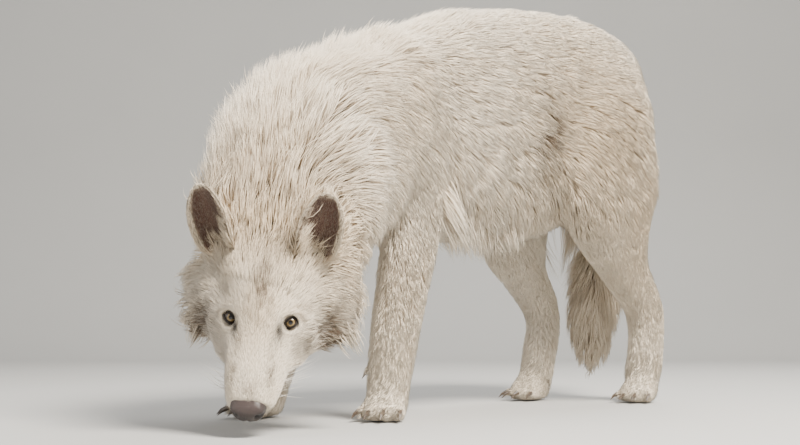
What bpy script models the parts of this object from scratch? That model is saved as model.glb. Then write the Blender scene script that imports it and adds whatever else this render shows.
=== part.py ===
"""A life-size arctic wolf. Its forequarters are lowered and its head, turned left, is just over the ground.

Run it with Blender 4.5: blender --background --python part.py
Frame: +X is the wolf's left, -Y its front, +Z up, the floor at z = 0. Metres.
The outer faces stand for the tips of the coat. The flesh is modelled whole, from lofts and muscle
masses that a voxel remesh joins, and is then parted into head, neck, trunk, tail and legs.
"""

import math
from collections import namedtuple

import bmesh
import bpy
from mathutils import Matrix, Vector

# ---------------------------------------------------------------- driving dimensions
WITHERS_HEIGHT = 0.680  # tips of the coat over the lowered shoulders
CROUP_HEIGHT = 0.800
BELLY_HEIGHT = 0.303
CHEST_HALF_WIDTH = 0.150
HOCK_HEIGHT = 0.190

HEAD_HEADING = math.radians(45)  # turned to the wolf's left
HEAD_PITCH = math.radians(62)  # muzzle below the horizontal
HEAD_LEAN = math.radians(5)  # crown to the wolf's left, muzzle to its right
EYES_MIDDLE = Vector((0.188, -0.678, 0.163))
EYE_SPACING = 0.084
EYE_RADIUS = 0.0120
EAR_LENGTH = 0.096
EAR_WIDTH = 0.070
EAR_THICKNESS = 0.009
EAR_SETBACK = 0.012  # how far the middle of the cup lies behind its root
EAR_BEND = 75  # half the arc of the cup's crescent at the root, in degrees
EAR_UNBEND = 45  # how much of that arc is gone at the tip
EAR_DEPTH = 0.85
EAR_POINTS = 6
# How far up the ear each level is, and how wide, as shares of the ear's length and width.
EAR_LEVELS = [
    (-0.14, 0.60),
    (0.10, 0.88),
    (0.34, 1.00),
    (0.56, 0.92),
    (0.76, 0.68),
    (0.90, 0.41),
    (0.98, 0.15),
]

GAP = 0.0003  # between neighbouring solids
VOXEL = 0.005
SMOOTHING = 5
FLESH_TRIANGLES = 2400
FLOOR_TRIM = 0.004  # how far the pads are modelled below the floor before they are cut flat
LEG_CLEARANCE = 0.010  # how far a leg's parting surface runs outside its flesh
ELBOW_HEIGHT = 0.300
WRIST_HEIGHT = 0.105
KNEE_HEIGHT = 0.318
LEG_SPREAD = 0.100  # from the midline to the middle of a lower leg's parting surface
FOOT_REACH = 0.10  # of that surface, ahead of and behind a foot
FOOT_HALF_WIDTH = 0.088
BELOW_THE_BELLY = 0.285  # here the parting surfaces widen, to take in the whole lower leg

Ring = namedtuple("Ring", "x y z across up down")
Claw = namedtuple("Claw", "root tip radius")


# ---------------------------------------------------------------- shape helpers
def spline(values, t):
    """Catmull-Rom value of a list of tuples at t, which runs from 0 to len(values) - 1."""
    last = len(values) - 1
    i = min(int(t), last - 1)
    u = t - i
    p0, p1, p2, p3 = (values[max(0, min(last, k))] for k in (i - 1, i, i + 1, i + 2))
    return tuple(
        0.5 * (2 * b + (c - a) * u + (2 * a - 5 * b + 4 * c - d) * u * u + (3 * b - a - 3 * c + d) * u**3)
        for a, b, c, d in zip(p0, p1, p2, p3)
    )


def add_loft(bm, rings, sides=20, steps=4, square=2.2, bulge=0.6, level=False, twist=0.0):
    """Adds a closed tube through the rings, with domed ends unless the bulge is 0.

    A level tube keeps every ring horizontal. A twist turns the rings about Z, the last one by all of it.
    """
    count = (len(rings) - 1) * steps
    dense = [Ring(*spline(rings, k / steps)) for k in range(count + 1)]
    centres = [Vector((r.x, r.y, r.z)) for r in dense]
    loops = []

    def frame_at(k):
        tangent = (centres[min(k + 1, count)] - centres[max(k - 1, 0)]).normalized()
        if level:
            tangent = Vector((0, 0, -1))
        hint = Matrix.Rotation(twist * k / count, 3, "Z") @ Vector((1, 0, 0))
        side = (hint - tangent * hint.dot(tangent)).normalized()
        return tangent, side, side.cross(tangent)

    def add_ring(k, shift, shrink):
        tangent, side, up = frame_at(k)
        ring = dense[k]
        loop = []
        for n in range(sides):
            angle = 2 * math.pi * n / sides
            c, s = math.cos(angle), math.sin(angle)
            across = math.copysign(abs(c) ** (2 / square), c) * ring.across
            rise = math.copysign(abs(s) ** (2 / square), s) * (ring.up if s > 0 else ring.down)
            point = centres[k] + tangent * shift + (side * across + up * rise) * shrink
            loop.append(bm.verts.new(point))
        loops.append(loop)

    def end_size(k):
        return min(dense[k].across, dense[k].up, dense[k].down) * bulge

    domes = (40, 70) if bulge else ()
    for angle in reversed(domes):
        add_ring(0, -end_size(0) * math.sin(math.radians(angle)), math.cos(math.radians(angle)))
    for k in range(count + 1):
        add_ring(k, 0, 1)
    for angle in domes:
        add_ring(count, end_size(count) * math.sin(math.radians(angle)), math.cos(math.radians(angle)))
    faces = []
    for a, b in zip(loops, loops[1:]):
        for n in range(sides):
            m = (n + 1) % sides
            faces.append(bm.faces.new((a[n], a[m], b[m], b[n])))
    for k, loop in ((0, loops[0]), (count, loops[-1])):
        if not bulge:
            faces.append(bm.faces.new(loop))
            continue
        away = -1 if k == 0 else 1
        pole = bm.verts.new(centres[k] + frame_at(k)[0] * away * end_size(k))
        for n in range(sides):
            faces.append(bm.faces.new((loop[n], loop[(n + 1) % sides], pole)))
    bmesh.ops.recalc_face_normals(bm, faces=faces)


def add_mass(bm, matrix, radii, segments=20, rings=12):
    """Adds an ellipsoid: a muscle, a pad or a tuft of the coat."""
    bmesh.ops.create_uvsphere(
        bm, u_segments=segments, v_segments=rings, radius=1, matrix=matrix @ Matrix.Diagonal((*radii, 1))
    )


def placed(x, y, z, turn=0.0, axis="Z"):
    return Matrix.Translation((x, y, z)) @ Matrix.Rotation(turn, 4, axis)


def head_matrix():
    """Head frame: +X the wolf's right, +Y to the nose, +Z out of the forehead, origin between the eyes."""
    level = Vector((math.sin(HEAD_HEADING), -math.cos(HEAD_HEADING), 0))
    forward = level * math.cos(HEAD_PITCH) - Vector((0, 0, math.sin(HEAD_PITCH)))
    crown = level * math.sin(HEAD_PITCH) + Vector((0, 0, math.cos(HEAD_PITCH)))
    right = forward.cross(crown)
    turn = Matrix((right, forward, crown)).transposed().to_4x4()
    lean = Matrix.Rotation(-HEAD_LEAN, 4, level)
    return Matrix.Translation(EYES_MIDDLE) @ lean @ turn


HEAD = head_matrix()


# ---------------------------------------------------------------- the body's lofts
TRUNK = [
    # y, top, bottom, half width
    (-0.450, 0.600, 0.350, 0.105),
    (-0.380, 0.655, 0.315, 0.138),
    (-0.270, WITHERS_HEIGHT, 0.308, CHEST_HALF_WIDTH),
    (-0.130, 0.733, BELLY_HEIGHT, CHEST_HALF_WIDTH),
    (0.000, 0.767, 0.312, 0.147),
    (0.130, 0.790, 0.350, 0.135),
    (0.260, CROUP_HEIGHT, 0.420, 0.128),
    (0.340, 0.778, 0.480, 0.108),
    (0.395, 0.715, 0.520, 0.078),
]
NECK = [
    Ring(0.000, -0.290, 0.490, 0.140, 0.182, 0.160),
    Ring(0.020, -0.395, 0.480, 0.147, 0.195, 0.155),
    Ring(0.054, -0.475, 0.445, 0.150, 0.184, 0.155),
    Ring(0.092, -0.540, 0.380, 0.156, 0.146, 0.155),
    Ring(0.118, -0.580, 0.310, 0.150, 0.100, 0.150),
    Ring(0.126, -0.598, 0.262, 0.136, 0.068, 0.124),
]
TAIL = [
    Ring(0.000, 0.372, 0.722, 0.040, 0.040, 0.040),
    Ring(0.000, 0.420, 0.655, 0.048, 0.042, 0.042),
    Ring(-0.002, 0.437, 0.570, 0.052, 0.045, 0.045),
    Ring(-0.008, 0.430, 0.470, 0.055, 0.047, 0.047),
    Ring(-0.018, 0.402, 0.370, 0.058, 0.050, 0.050),
    Ring(-0.028, 0.366, 0.270, 0.060, 0.052, 0.052),
    Ring(-0.032, 0.345, 0.190, 0.058, 0.050, 0.050),
    Ring(-0.034, 0.340, 0.135, 0.050, 0.042, 0.042),
    Ring(-0.034, 0.338, 0.090, 0.031, 0.026, 0.026),
    Ring(-0.034, 0.337, 0.056, 0.009, 0.008, 0.008),
]


def trunk_rings():
    for y, top, bottom, half in TRUNK:
        yield Ring(0, y, (top + bottom) / 2, half, (top - bottom) / 2, (top - bottom) / 2)


# Leg rings: across is sideways, up is backwards and down is forwards of the leg's own line.
FORELEGS = {
    "left": [
        Ring(0.088, -0.290, 0.590, 0.055, 0.075, 0.075),
        Ring(0.106, -0.350, 0.480, 0.060, 0.090, 0.085),
        Ring(0.106, -0.310, 0.365, 0.054, 0.070, 0.066),
        Ring(0.103, -0.322, 0.270, 0.047, 0.054, 0.050),
        Ring(0.102, -0.338, 0.180, 0.042, 0.044, 0.044),
        Ring(0.102, -0.350, 0.110, 0.040, 0.042, 0.041),
        Ring(0.102, -0.362, 0.055, 0.038, 0.037, 0.038),
    ],
    "right": [
        Ring(-0.088, -0.290, 0.590, 0.055, 0.075, 0.075),
        Ring(-0.104, -0.365, 0.480, 0.060, 0.090, 0.085),
        Ring(-0.102, -0.335, 0.365, 0.054, 0.070, 0.066),
        Ring(-0.098, -0.372, 0.270, 0.047, 0.054, 0.050),
        Ring(-0.093, -0.410, 0.180, 0.042, 0.044, 0.044),
        Ring(-0.090, -0.440, 0.110, 0.040, 0.042, 0.041),
        Ring(-0.087, -0.462, 0.055, 0.038, 0.037, 0.038),
    ],
}
THIGHS = {
    "left": [
        Ring(0.080, 0.262, 0.690, 0.045, 0.090, 0.100),
        Ring(0.098, 0.245, 0.600, 0.066, 0.116, 0.142),
        Ring(0.108, 0.228, 0.500, 0.074, 0.122, 0.158),
        Ring(0.112, 0.216, 0.420, 0.070, 0.122, 0.156),
        Ring(0.112, 0.220, 0.360, 0.060, 0.104, 0.130),
        Ring(0.109, 0.240, 0.312, 0.052, 0.080, 0.098),
        Ring(0.107, 0.262, 0.268, 0.044, 0.060, 0.064),
    ],
    "right": [
        Ring(-0.080, 0.255, 0.690, 0.045, 0.095, 0.100),
        Ring(-0.098, 0.228, 0.600, 0.066, 0.130, 0.142),
        Ring(-0.106, 0.200, 0.500, 0.072, 0.145, 0.155),
        Ring(-0.107, 0.175, 0.420, 0.066, 0.130, 0.140),
        Ring(-0.104, 0.165, 0.360, 0.056, 0.105, 0.108),
        Ring(-0.100, 0.172, 0.312, 0.048, 0.080, 0.080),
        Ring(-0.097, 0.192, 0.268, 0.043, 0.060, 0.060),
    ],
}
SHANKS = {
    "left": [
        Ring(0.109, 0.215, 0.330, 0.050, 0.060, 0.070),
        Ring(0.107, 0.280, 0.262, 0.043, 0.046, 0.058),
        Ring(0.103, 0.338, HOCK_HEIGHT, 0.038, 0.042, 0.044),
        Ring(0.101, 0.345, 0.120, 0.037, 0.039, 0.040),
        Ring(0.100, 0.338, 0.060, 0.037, 0.036, 0.038),
    ],
    "right": [
        Ring(-0.100, 0.145, 0.330, 0.048, 0.060, 0.068),
        Ring(-0.096, 0.198, 0.262, 0.042, 0.048, 0.054),
        Ring(-0.092, 0.252, HOCK_HEIGHT - 0.008, 0.038, 0.042, 0.042),
        Ring(-0.090, 0.246, 0.120, 0.037, 0.039, 0.039),
        Ring(-0.088, 0.226, 0.060, 0.037, 0.036, 0.038),
    ],
}
# Paws: centre of the sole, heading outwards from straight ahead in degrees, width and length.
Paw = namedtuple("Paw", "x y heading width length")
# The long hair behind each thigh.
TROUSERS = (0.055, 0.052, 0.130)
TROUSERS_PLACE = (0.330, 0.500)
TROUSERS_SIDE = {"left": 0.055, "right": -0.055}
FOREPAWS = {"left": Paw(0.107, -0.368, 30, 0.084, 0.098), "right": Paw(-0.086, -0.480, 2, 0.084, 0.100)}
HINDPAWS = {"left": Paw(0.102, 0.323, 12, 0.080, 0.096), "right": Paw(-0.090, 0.210, -2, 0.080, 0.094)}


def paw_matrix(paw):
    """Paw frame: +Y to the toes, +X to the wolf's right, +Z up, origin on the floor."""
    return placed(paw.x, paw.y, 0, math.pi + math.radians(paw.heading))


def toe_spots(paw):
    """(x, y, turn) of each toe's middle in the paw frame: two long middle toes, two short outer ones."""
    for reach, out, turn in ((0.20, -0.36, 14), (0.36, -0.13, 4), (0.36, 0.13, -4), (0.20, 0.36, -14)):
        yield out * paw.width, reach * paw.length, math.radians(turn)


def add_paw(bm, paw):
    """Heel, instep and four toes, pressed slightly below the floor so that the soles are cut flat."""
    m = paw_matrix(paw)
    add_mass(bm, m @ placed(0, -0.16 * paw.length, 0.030), (0.42 * paw.width, 0.36 * paw.length, 0.034))
    add_mass(bm, m @ placed(0, 0.06 * paw.length, 0.032), (0.40 * paw.width, 0.34 * paw.length, 0.034))
    for x, y, turn in toe_spots(paw):
        toe = (0.155 * paw.width, 0.235 * paw.length, 0.021)
        add_mass(bm, m @ placed(x, y, 0.021 - FLOOR_TRIM, turn), toe, 12, 8)


def claws_of(paw):
    """Root and tip of each claw of a paw, in the world."""
    m = paw_matrix(paw)
    for x, y, turn in toe_spots(paw):
        ahead = Vector((-math.sin(turn), math.cos(turn), 0))
        root = Vector((x, y, 0.0180)) + ahead * 0.185 * paw.length
        yield Claw(m @ root, m @ (root + ahead * 0.023 + Vector((0, 0, -0.0120))), 0.0042)


def dewclaw_of(paw, inner):
    """The small claw on the inner side of a forefoot, above the floor."""
    m = paw_matrix(paw)
    root = Vector((inner * 0.028, -0.004, 0.082))
    return Claw(m @ root, m @ (root + Vector((inner * 0.014, 0.008, -0.016))), 0.0036)


# ---------------------------------------------------------------- the head, in its own frame
MUZZLE = [
    Ring(0, 0.118, -0.043, 0.0320, 0.0220, 0.0270),
    Ring(0, 0.100, -0.042, 0.0385, 0.0270, 0.0330),
    Ring(0, 0.070, -0.040, 0.0460, 0.0320, 0.0400),
    Ring(0, 0.035, -0.037, 0.0540, 0.0380, 0.0470),
    Ring(0, 0.000, -0.032, 0.0620, 0.0420, 0.0550),
    Ring(0, -0.045, -0.024, 0.0740, 0.0560, 0.0640),
]
CRANIUM = [
    Ring(0, 0.010, -0.018, 0.036, 0.022, 0.040),
    Ring(0, -0.015, -0.014, 0.056, 0.036, 0.050),
    Ring(0, -0.045, -0.012, 0.072, 0.052, 0.060),
    Ring(0, -0.085, -0.010, 0.086, 0.062, 0.074),
    Ring(0, -0.130, -0.012, 0.096, 0.060, 0.080),
    Ring(0, -0.175, -0.016, 0.098, 0.050, 0.080),
]
LOCK_REACH = 0.72  # half a lock's length, as a share of the distance between its ends
# Start, end and thickness of each lock of the side whiskers, as on the wolf's right.
WHISKER_LOCKS = [
    ((0.070, -0.115, -0.040), (0.118, -0.050, -0.055), 0.040),
    ((0.078, -0.085, -0.055), (0.120, -0.020, -0.084), 0.032),
    ((0.062, -0.060, -0.060), (0.102, -0.008, -0.078), 0.032),
    ((0.040, -0.045, -0.062), (0.072, 0.006, -0.070), 0.032),
    ((0.080, -0.130, -0.050), (0.118, -0.070, -0.072), 0.044),
]
NOSE = [
    Ring(0, 0.106, -0.034, 0.0165, 0.0110, 0.0130),
    Ring(0, 0.117, -0.035, 0.0220, 0.0135, 0.0165),
    Ring(0, 0.128, -0.037, 0.0225, 0.0130, 0.0165),
    Ring(0, 0.136, -0.039, 0.0170, 0.0095, 0.0120),
]
# The corners of the box, in the head's own frame, that parts the head from the neck.
HEAD_BOX = ((-0.21, -0.125, -0.20), (0.21, 0.22, 0.16))
NECK_TOP = (0, -0.360, 0.660)
NECK_LEAN = math.atan2(0.110, 0.300)
# The closed mouth, from the side: the lower jaw is all that is below and in front of these lines.
MOUTH_LINE = [(0.200, -0.0560), (0.040, -0.0640), (0.022, -0.0720), (0.016, -0.1500), (0.200, -0.1500)]


def add_lock(bm, start, end, radius):
    """Adds a spindle of coat between two points."""
    start, end = Vector(start), Vector(end)
    turn = (end - start).to_track_quat("Z", "Y").to_matrix().to_4x4()
    half_length = (end - start).length * LOCK_REACH
    add_mass(bm, Matrix.Translation((start + end) / 2) @ turn, (radius, radius, half_length))


def add_head(bm):
    head = bmesh.new()
    add_loft(head, MUZZLE, square=2.3, bulge=0.35)
    add_loft(head, CRANIUM, square=2.1)
    for s in (-1, 1):
        add_mass(head, placed(s * 0.046, -0.020, 0.000), (0.021, 0.026, 0.017))  # brow
        add_mass(head, placed(s * 0.056, -0.022, -0.030), (0.032, 0.050, 0.034))  # cheekbone
        add_mass(head, placed(s * 0.050, 0.012, -0.056), (0.026, 0.045, 0.030))  # chewing muscle
        add_mass(head, placed(s * 0.074, -0.056, -0.030), (0.036, 0.046, 0.044))  # coat of the cheek
        add_mass(head, placed(s * 0.076, -0.106, 0.006), (0.034, 0.028, 0.032))  # root of the ear
        for start, end, radius in WHISKER_LOCKS:
            add_lock(head, (s * start[0], *start[1:]), (s * end[0], *end[1:]), radius)
    add_mass(head, placed(0, -0.025, -0.080), (0.062, 0.078, 0.042))  # throat
    head.transform(HEAD)
    spare = bpy.data.meshes.new("head_spare")
    head.to_mesh(spare)
    head.free()
    bm.from_mesh(spare)
    bpy.data.meshes.remove(spare)


def flesh_mesh():
    """Every loft and mass of the flesh but the tail's, in one bmesh, still overlapping."""
    bm = bmesh.new()
    add_loft(bm, list(trunk_rings()), bulge=0.45, sides=24)
    add_loft(bm, NECK, sides=24, bulge=0.3, twist=HEAD_HEADING)
    for side in ("left", "right"):
        add_loft(bm, FORELEGS[side])
        add_loft(bm, THIGHS[side], level=True)
        add_loft(bm, SHANKS[side])
        add_paw(bm, FOREPAWS[side])
        add_paw(bm, HINDPAWS[side])
        add_mass(bm, placed(TROUSERS_SIDE[side], *TROUSERS_PLACE), TROUSERS)
    add_head(bm)
    return bm


def tail_mesh():
    bm = bmesh.new()
    add_loft(bm, TAIL, sides=12, steps=2)
    return bm


def eye_mesh(s):
    bm = bmesh.new()
    centre = Vector((s * EYE_SPACING / 2, -0.002, -0.0085))
    add_mass(bm, HEAD @ Matrix.Translation(centre), [EYE_RADIUS] * 3, 12, 8)
    return bm


def eye_pit_mesh(s):
    """The hollow between the lids, through which the eye shows."""
    bm = bmesh.new()
    pit = placed(s * (EYE_SPACING / 2 + 0.001), 0.007, 0.004, -s * 0.5)
    add_mass(bm, HEAD @ pit, (0.0125, 0.0125, 0.0115), 12, 8)
    return bm


def ear_mesh(s):
    """A thin cup: each level is a crescent, its hollow side forward and slightly outward."""
    up = Vector((s * 0.14, -0.44, 0.87)).normalized()
    ahead = Vector((s * 0.28, 0.80, 0.50))
    ahead = (ahead - up * ahead.dot(up)).normalized()
    across = ahead.cross(up)
    base = Vector((s * 0.080, -0.090, 0.034))
    bm = bmesh.new()
    loops = []
    for level, width in EAR_LEVELS:
        half = width * EAR_WIDTH / 2
        bend = math.radians(EAR_BEND - EAR_UNBEND * max(level, 0))
        thick = EAR_THICKNESS * (1 - 0.45 * max(level, 0))
        turns = [bend * (2 * k / EAR_POINTS - 1) for k in range(EAR_POINTS + 1)]
        deep = half / math.sin(bend) * EAR_DEPTH
        loop = [(half * math.sin(a) / math.sin(bend), deep * (1 - math.cos(a))) for a in turns]
        for a in reversed(turns[1:-1]):
            x = (half - 0.2 * thick) * math.sin(a) / math.sin(bend)
            loop.append((x, deep * (1 - math.cos(a)) + thick * math.cos(a * 0.9)))
        origin = base + up * level * EAR_LENGTH - ahead * EAR_SETBACK
        loops.append([bm.verts.new(origin + across * x + ahead * y) for x, y in loop])
    count = len(loops[0])
    for a, b in zip(loops, loops[1:]):
        for n in range(count):
            m = (n + 1) % count
            bm.faces.new((a[n], a[m], b[m], b[n]))
    for loop in (loops[0], loops[-1]):
        bm.faces.new(loop)
    bmesh.ops.recalc_face_normals(bm, faces=bm.faces)
    bmesh.ops.triangulate(bm, faces=bm.faces)
    bm.transform(HEAD)
    return bm


def nose_mesh():
    bm = bmesh.new()
    add_loft(bm, NOSE, sides=12, steps=1, square=2.4, bulge=0.5)
    bm.transform(HEAD)
    return bm


def claw_mesh(claw, sides=5):
    """A short horn that curves down to its tip."""
    bm = bmesh.new()
    reach = claw.tip - claw.root
    side = reach.cross(Vector((0, 0, 1))).normalized()
    over = side.cross(reach).normalized() * -1
    loops = []
    for t in (0, 0.55):
        centre = claw.root + reach * t - over * 0.0022 * math.sin(math.pi * t)
        radius = claw.radius * (1 - 0.6 * t)
        turns = [2 * math.pi * n / sides for n in range(sides)]
        spokes = [side * math.cos(a) + over * math.sin(a) for a in turns]
        loops.append([bm.verts.new(centre + spoke * radius) for spoke in spokes])
    tip = bm.verts.new(claw.tip)
    for a, b in zip(loops, loops[1:]):
        for n in range(sides):
            bm.faces.new((a[n], a[(n + 1) % sides], b[(n + 1) % sides], b[n]))
    for n in range(sides):
        bm.faces.new((loops[-1][n], loops[-1][(n + 1) % sides], tip))
    bm.faces.new(loops[0])
    bmesh.ops.recalc_face_normals(bm, faces=bm.faces)
    return bm


# ---------------------------------------------------------------- parting
def make_object(name, bm):
    """Makes an object of triangles, so that a swollen copy bends along the same lines."""
    bmesh.ops.triangulate(bm, faces=bm.faces)
    mesh = bpy.data.meshes.new(name)
    bm.to_mesh(mesh)
    bm.free()
    obj = bpy.data.objects.new(name, mesh)
    bpy.context.scene.collection.objects.link(obj)
    return obj


def double(obj, name):
    copy = bpy.data.objects.new(name, obj.data.copy())
    bpy.context.scene.collection.objects.link(copy)
    return copy


def bake(obj, kind, **settings):
    """Adds one modifier and keeps its result as the object's mesh."""
    modifier = obj.modifiers.new(kind, kind)
    for key, value in settings.items():
        setattr(modifier, key, value)
    depsgraph = bpy.context.evaluated_depsgraph_get()
    mesh = bpy.data.meshes.new_from_object(obj.evaluated_get(depsgraph))
    obj.modifiers.clear()
    obj.data = mesh


def cut(body, tool, operation="DIFFERENCE"):
    bake(body, "BOOLEAN", operation=operation, object=tool, solver="EXACT")


def swell(obj, amount):
    """Moves every face outwards by the amount."""
    bm = bmesh.new()
    bm.from_mesh(obj.data)
    bm.normal_update()
    moves = [v.normal * v.calc_shell_factor() * amount for v in bm.verts]
    for vertex, move in zip(bm.verts, moves):
        vertex.co += move
    bm.to_mesh(obj.data)
    bm.free()


def seat(body, fitted):
    """Cuts the room for a fitted solid, a gap wider all round, into the body."""
    tool = double(fitted, "tool")
    swell(tool, GAP)
    cut(body, tool)
    bpy.data.objects.remove(tool)


def take(body, region, name):
    """Parts what lies inside the region from the body, a gap apart, as an object of its own."""
    piece = double(body, name)
    cut(piece, region, "INTERSECT")
    swell(region, GAP)
    cut(body, region)
    bpy.data.objects.remove(region)
    keep_largest(piece)
    return piece


def keep_largest(obj):
    """Drops the crumbs that a parting leaves and splits its many-sided faces."""
    bm = bmesh.new()
    bm.from_mesh(obj.data)
    left = set(bm.verts)
    islands = []
    while left:
        island = {left.pop()}
        edge = list(island)
        while edge:
            vertex = edge.pop()
            for link in vertex.link_edges:
                other = link.other_vert(vertex)
                if other in left:
                    left.remove(other)
                    island.add(other)
                    edge.append(other)
        islands.append(island)
    islands.sort(key=len)
    for island in islands[:-1]:
        bmesh.ops.delete(bm, geom=list(island), context="VERTS")
    bmesh.ops.triangulate(bm, faces=bm.faces)
    bm.to_mesh(obj.data)
    bm.free()


def box_region(matrix, low, high):
    bm = bmesh.new()
    size = [b - a for a, b in zip(low, high)]
    middle = [(a + b) / 2 for a, b in zip(low, high)]
    stretch = Matrix.Diagonal((*size, 1))
    bmesh.ops.create_cube(bm, size=1, matrix=matrix @ Matrix.Translation(middle) @ stretch)
    return make_object("region", bm)


def band_region(low, high):
    """All that lies between two heights."""
    return box_region(Matrix.Identity(4), (-1, -1, low), (1, 1, high))


def jaw_region():
    bm = bmesh.new()
    rows = [[bm.verts.new(HEAD @ Vector((x, y, z))) for y, z in MOUTH_LINE] for x in (-0.2, 0.2)]
    for n in range(len(MOUTH_LINE)):
        m = (n + 1) % len(MOUTH_LINE)
        bm.faces.new((rows[0][n], rows[0][m], rows[1][m], rows[1][n]))
    for row in rows:
        bm.faces.new(row)
    bmesh.ops.recalc_face_normals(bm, faces=bm.faces)
    return make_object("region", bm)


def neck_region():
    """In front of a plane that leans from the withers down and forward to the brisket."""
    plane = Matrix.Translation(NECK_TOP) @ Matrix.Rotation(-NECK_LEAN, 4, "X")
    return box_region(plane, (-0.5, -0.8, -0.9), (0.5, 0, 0.4))


def leg_region(rings, paw, s):
    """The leg's own tube with some clearance, which widens below the belly to take in the whole foot."""
    grown = [
        Ring(r.x, r.y, r.z, r.across + LEG_CLEARANCE, r.up + LEG_CLEARANCE, r.down + LEG_CLEARANCE)
        for r in rings
        if r.z > BELOW_THE_BELLY + 0.02
    ]
    last = grown[-1]
    toe = paw.y - FOOT_REACH
    heel = max(last.y + last.up, paw.y + FOOT_REACH)
    middle, half = (toe + heel) / 2, (heel - toe) / 2
    x = s * LEG_SPREAD
    across, up, down = last.across + 2 * LEG_CLEARANCE, last.up + LEG_CLEARANCE, last.down + LEG_CLEARANCE
    grown.append(Ring(x, last.y, BELOW_THE_BELLY, across, up, down))
    for z in (BELOW_THE_BELLY - 0.05, -0.020):
        grown.append(Ring(x, middle, z, FOOT_HALF_WIDTH, half, half))
    bm = bmesh.new()
    add_loft(bm, grown, sides=10, steps=1, square=3.0, bulge=0, level=True)
    return make_object("region", bm)


# ---------------------------------------------------------------- finishes and the whole
LOOKS = {
    # colour, roughness
    "coat": ((0.80, 0.76, 0.69), 0.90),
    "iris": ((0.42, 0.27, 0.06), 0.12),
    "nose": ((0.045, 0.030, 0.028), 0.45),
    "claw": ((0.090, 0.075, 0.065), 0.40),
}


def dress(obj, look):
    colour, roughness = LOOKS[look]
    material = bpy.data.materials.new(f"{obj.name}_{look}")
    material.use_nodes = True
    shader = material.node_tree.nodes["Principled BSDF"]
    shader.inputs["Base Color"].default_value = (*colour, 1)
    shader.inputs["Roughness"].default_value = roughness
    shader.inputs["Metallic"].default_value = 0
    obj.data.materials.clear()
    obj.data.materials.append(material)
    obj.data.shade_smooth()


def flesh_object():
    flesh = make_object("flesh", flesh_mesh())
    bake(flesh, "REMESH", mode="VOXEL", voxel_size=VOXEL)
    bake(flesh, "SMOOTH", factor=0.5, iterations=SMOOTHING)
    faces = 2 * len(flesh.data.polygons)
    bake(flesh, "DECIMATE", ratio=FLESH_TRIANGLES / faces)
    ground = band_region(-0.1, 0)
    cut(flesh, ground)
    bpy.data.objects.remove(ground)
    return flesh


def fitted_solids():
    """Name, mesh and look of each solid that is let into the flesh."""
    yield "tail", tail_mesh(), "coat"
    yield "nose", nose_mesh(), "nose"
    for side, s in (("left", -1), ("right", 1)):
        yield f"eye_{side}", eye_mesh(s), "iris"
        yield f"ear_{side}", ear_mesh(s), "coat"
        inner = -s
        yield f"foreclaw_{side}_dew", claw_mesh(dewclaw_of(FOREPAWS[side], inner)), "claw"
        for limb, paws in (("fore", FOREPAWS), ("hind", HINDPAWS)):
            for n, claw in enumerate(claws_of(paws[side]), 1):
                yield f"{limb}claw_{side}_{n}", claw_mesh(claw), "claw"


def part_leg(flesh, side, s, limb):
    """Takes one leg off the flesh and yields its three parts, from the top down."""
    if limb == "fore":
        rings, paw, joints = FORELEGS[side], FOREPAWS[side], (ELBOW_HEIGHT, WRIST_HEIGHT)
        names = ("upper_arm", "forearm", "forepaw")
    else:
        rings, paw, joints = THIGHS[side], HINDPAWS[side], (KNEE_HEIGHT, HOCK_HEIGHT - 0.03)
        names = ("thigh", "shank", "hindpaw")
    leg = take(flesh, leg_region(rings, paw, s), f"{names[0]}_{side}")
    for joint, name in zip(reversed(joints), reversed(names)):
        yield take(leg, band_region(-0.1, joint), f"{name}_{side}")
    yield leg


def centre_origin():
    """Puts the world origin under the middle of the whole, and each object's own origin at its middle."""
    nodes = list(bpy.data.objects)
    points = [vertex.co for node in nodes for vertex in node.data.vertices]
    whole = Vector(((min(p.x for p in points) + max(p.x for p in points)) / 2, 0, 0))
    whole.y = (min(p.y for p in points) + max(p.y for p in points)) / 2
    for node in nodes:
        middle = sum((vertex.co for vertex in node.data.vertices), Vector()) / len(node.data.vertices)
        node.data.transform(Matrix.Translation(-middle))
        node.location = middle - whole


def main():
    for obj in list(bpy.data.objects):
        bpy.data.objects.remove(obj)
    flesh = flesh_object()
    for s in (-1, 1):
        pit = make_object("pit", eye_pit_mesh(s))
        cut(flesh, pit)
        bpy.data.objects.remove(pit)
    for name, bm, look in fitted_solids():
        fitted = make_object(name, bm)
        seat(flesh, fitted)
        dress(fitted, look)
    flesh_nodes = [take(flesh, box_region(HEAD, *HEAD_BOX), "head")]
    flesh_nodes.append(take(flesh_nodes[0], jaw_region(), "lower_jaw"))
    flesh_nodes.append(take(flesh, neck_region(), "neck"))
    for side, s in (("left", 1), ("right", -1)):
        for limb in ("fore", "hind"):
            flesh_nodes.extend(part_leg(flesh, side, s, limb))
    flesh.name = "trunk"
    flesh_nodes.append(flesh)
    for node in flesh_nodes:
        keep_largest(node)
        dress(node, "coat")
    centre_origin()


if __name__ == "__main__":
    main()
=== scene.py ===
"""Dresses the still arctic wolf: skin, coat, eyes, nose, lips, whiskers and claws, in a plain studio."""

import logging
import math
from dataclasses import dataclass, field
from enum import Enum
from typing import Callable, Sequence, Union

import bmesh
import bpy
import numpy as np
from bpy.types import ColorRamp, Material, Mesh, NodeSocket, Object
from mathutils import Matrix, Vector
from mathutils.bvhtree import BVHTree
from mathutils.kdtree import KDTree


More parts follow.
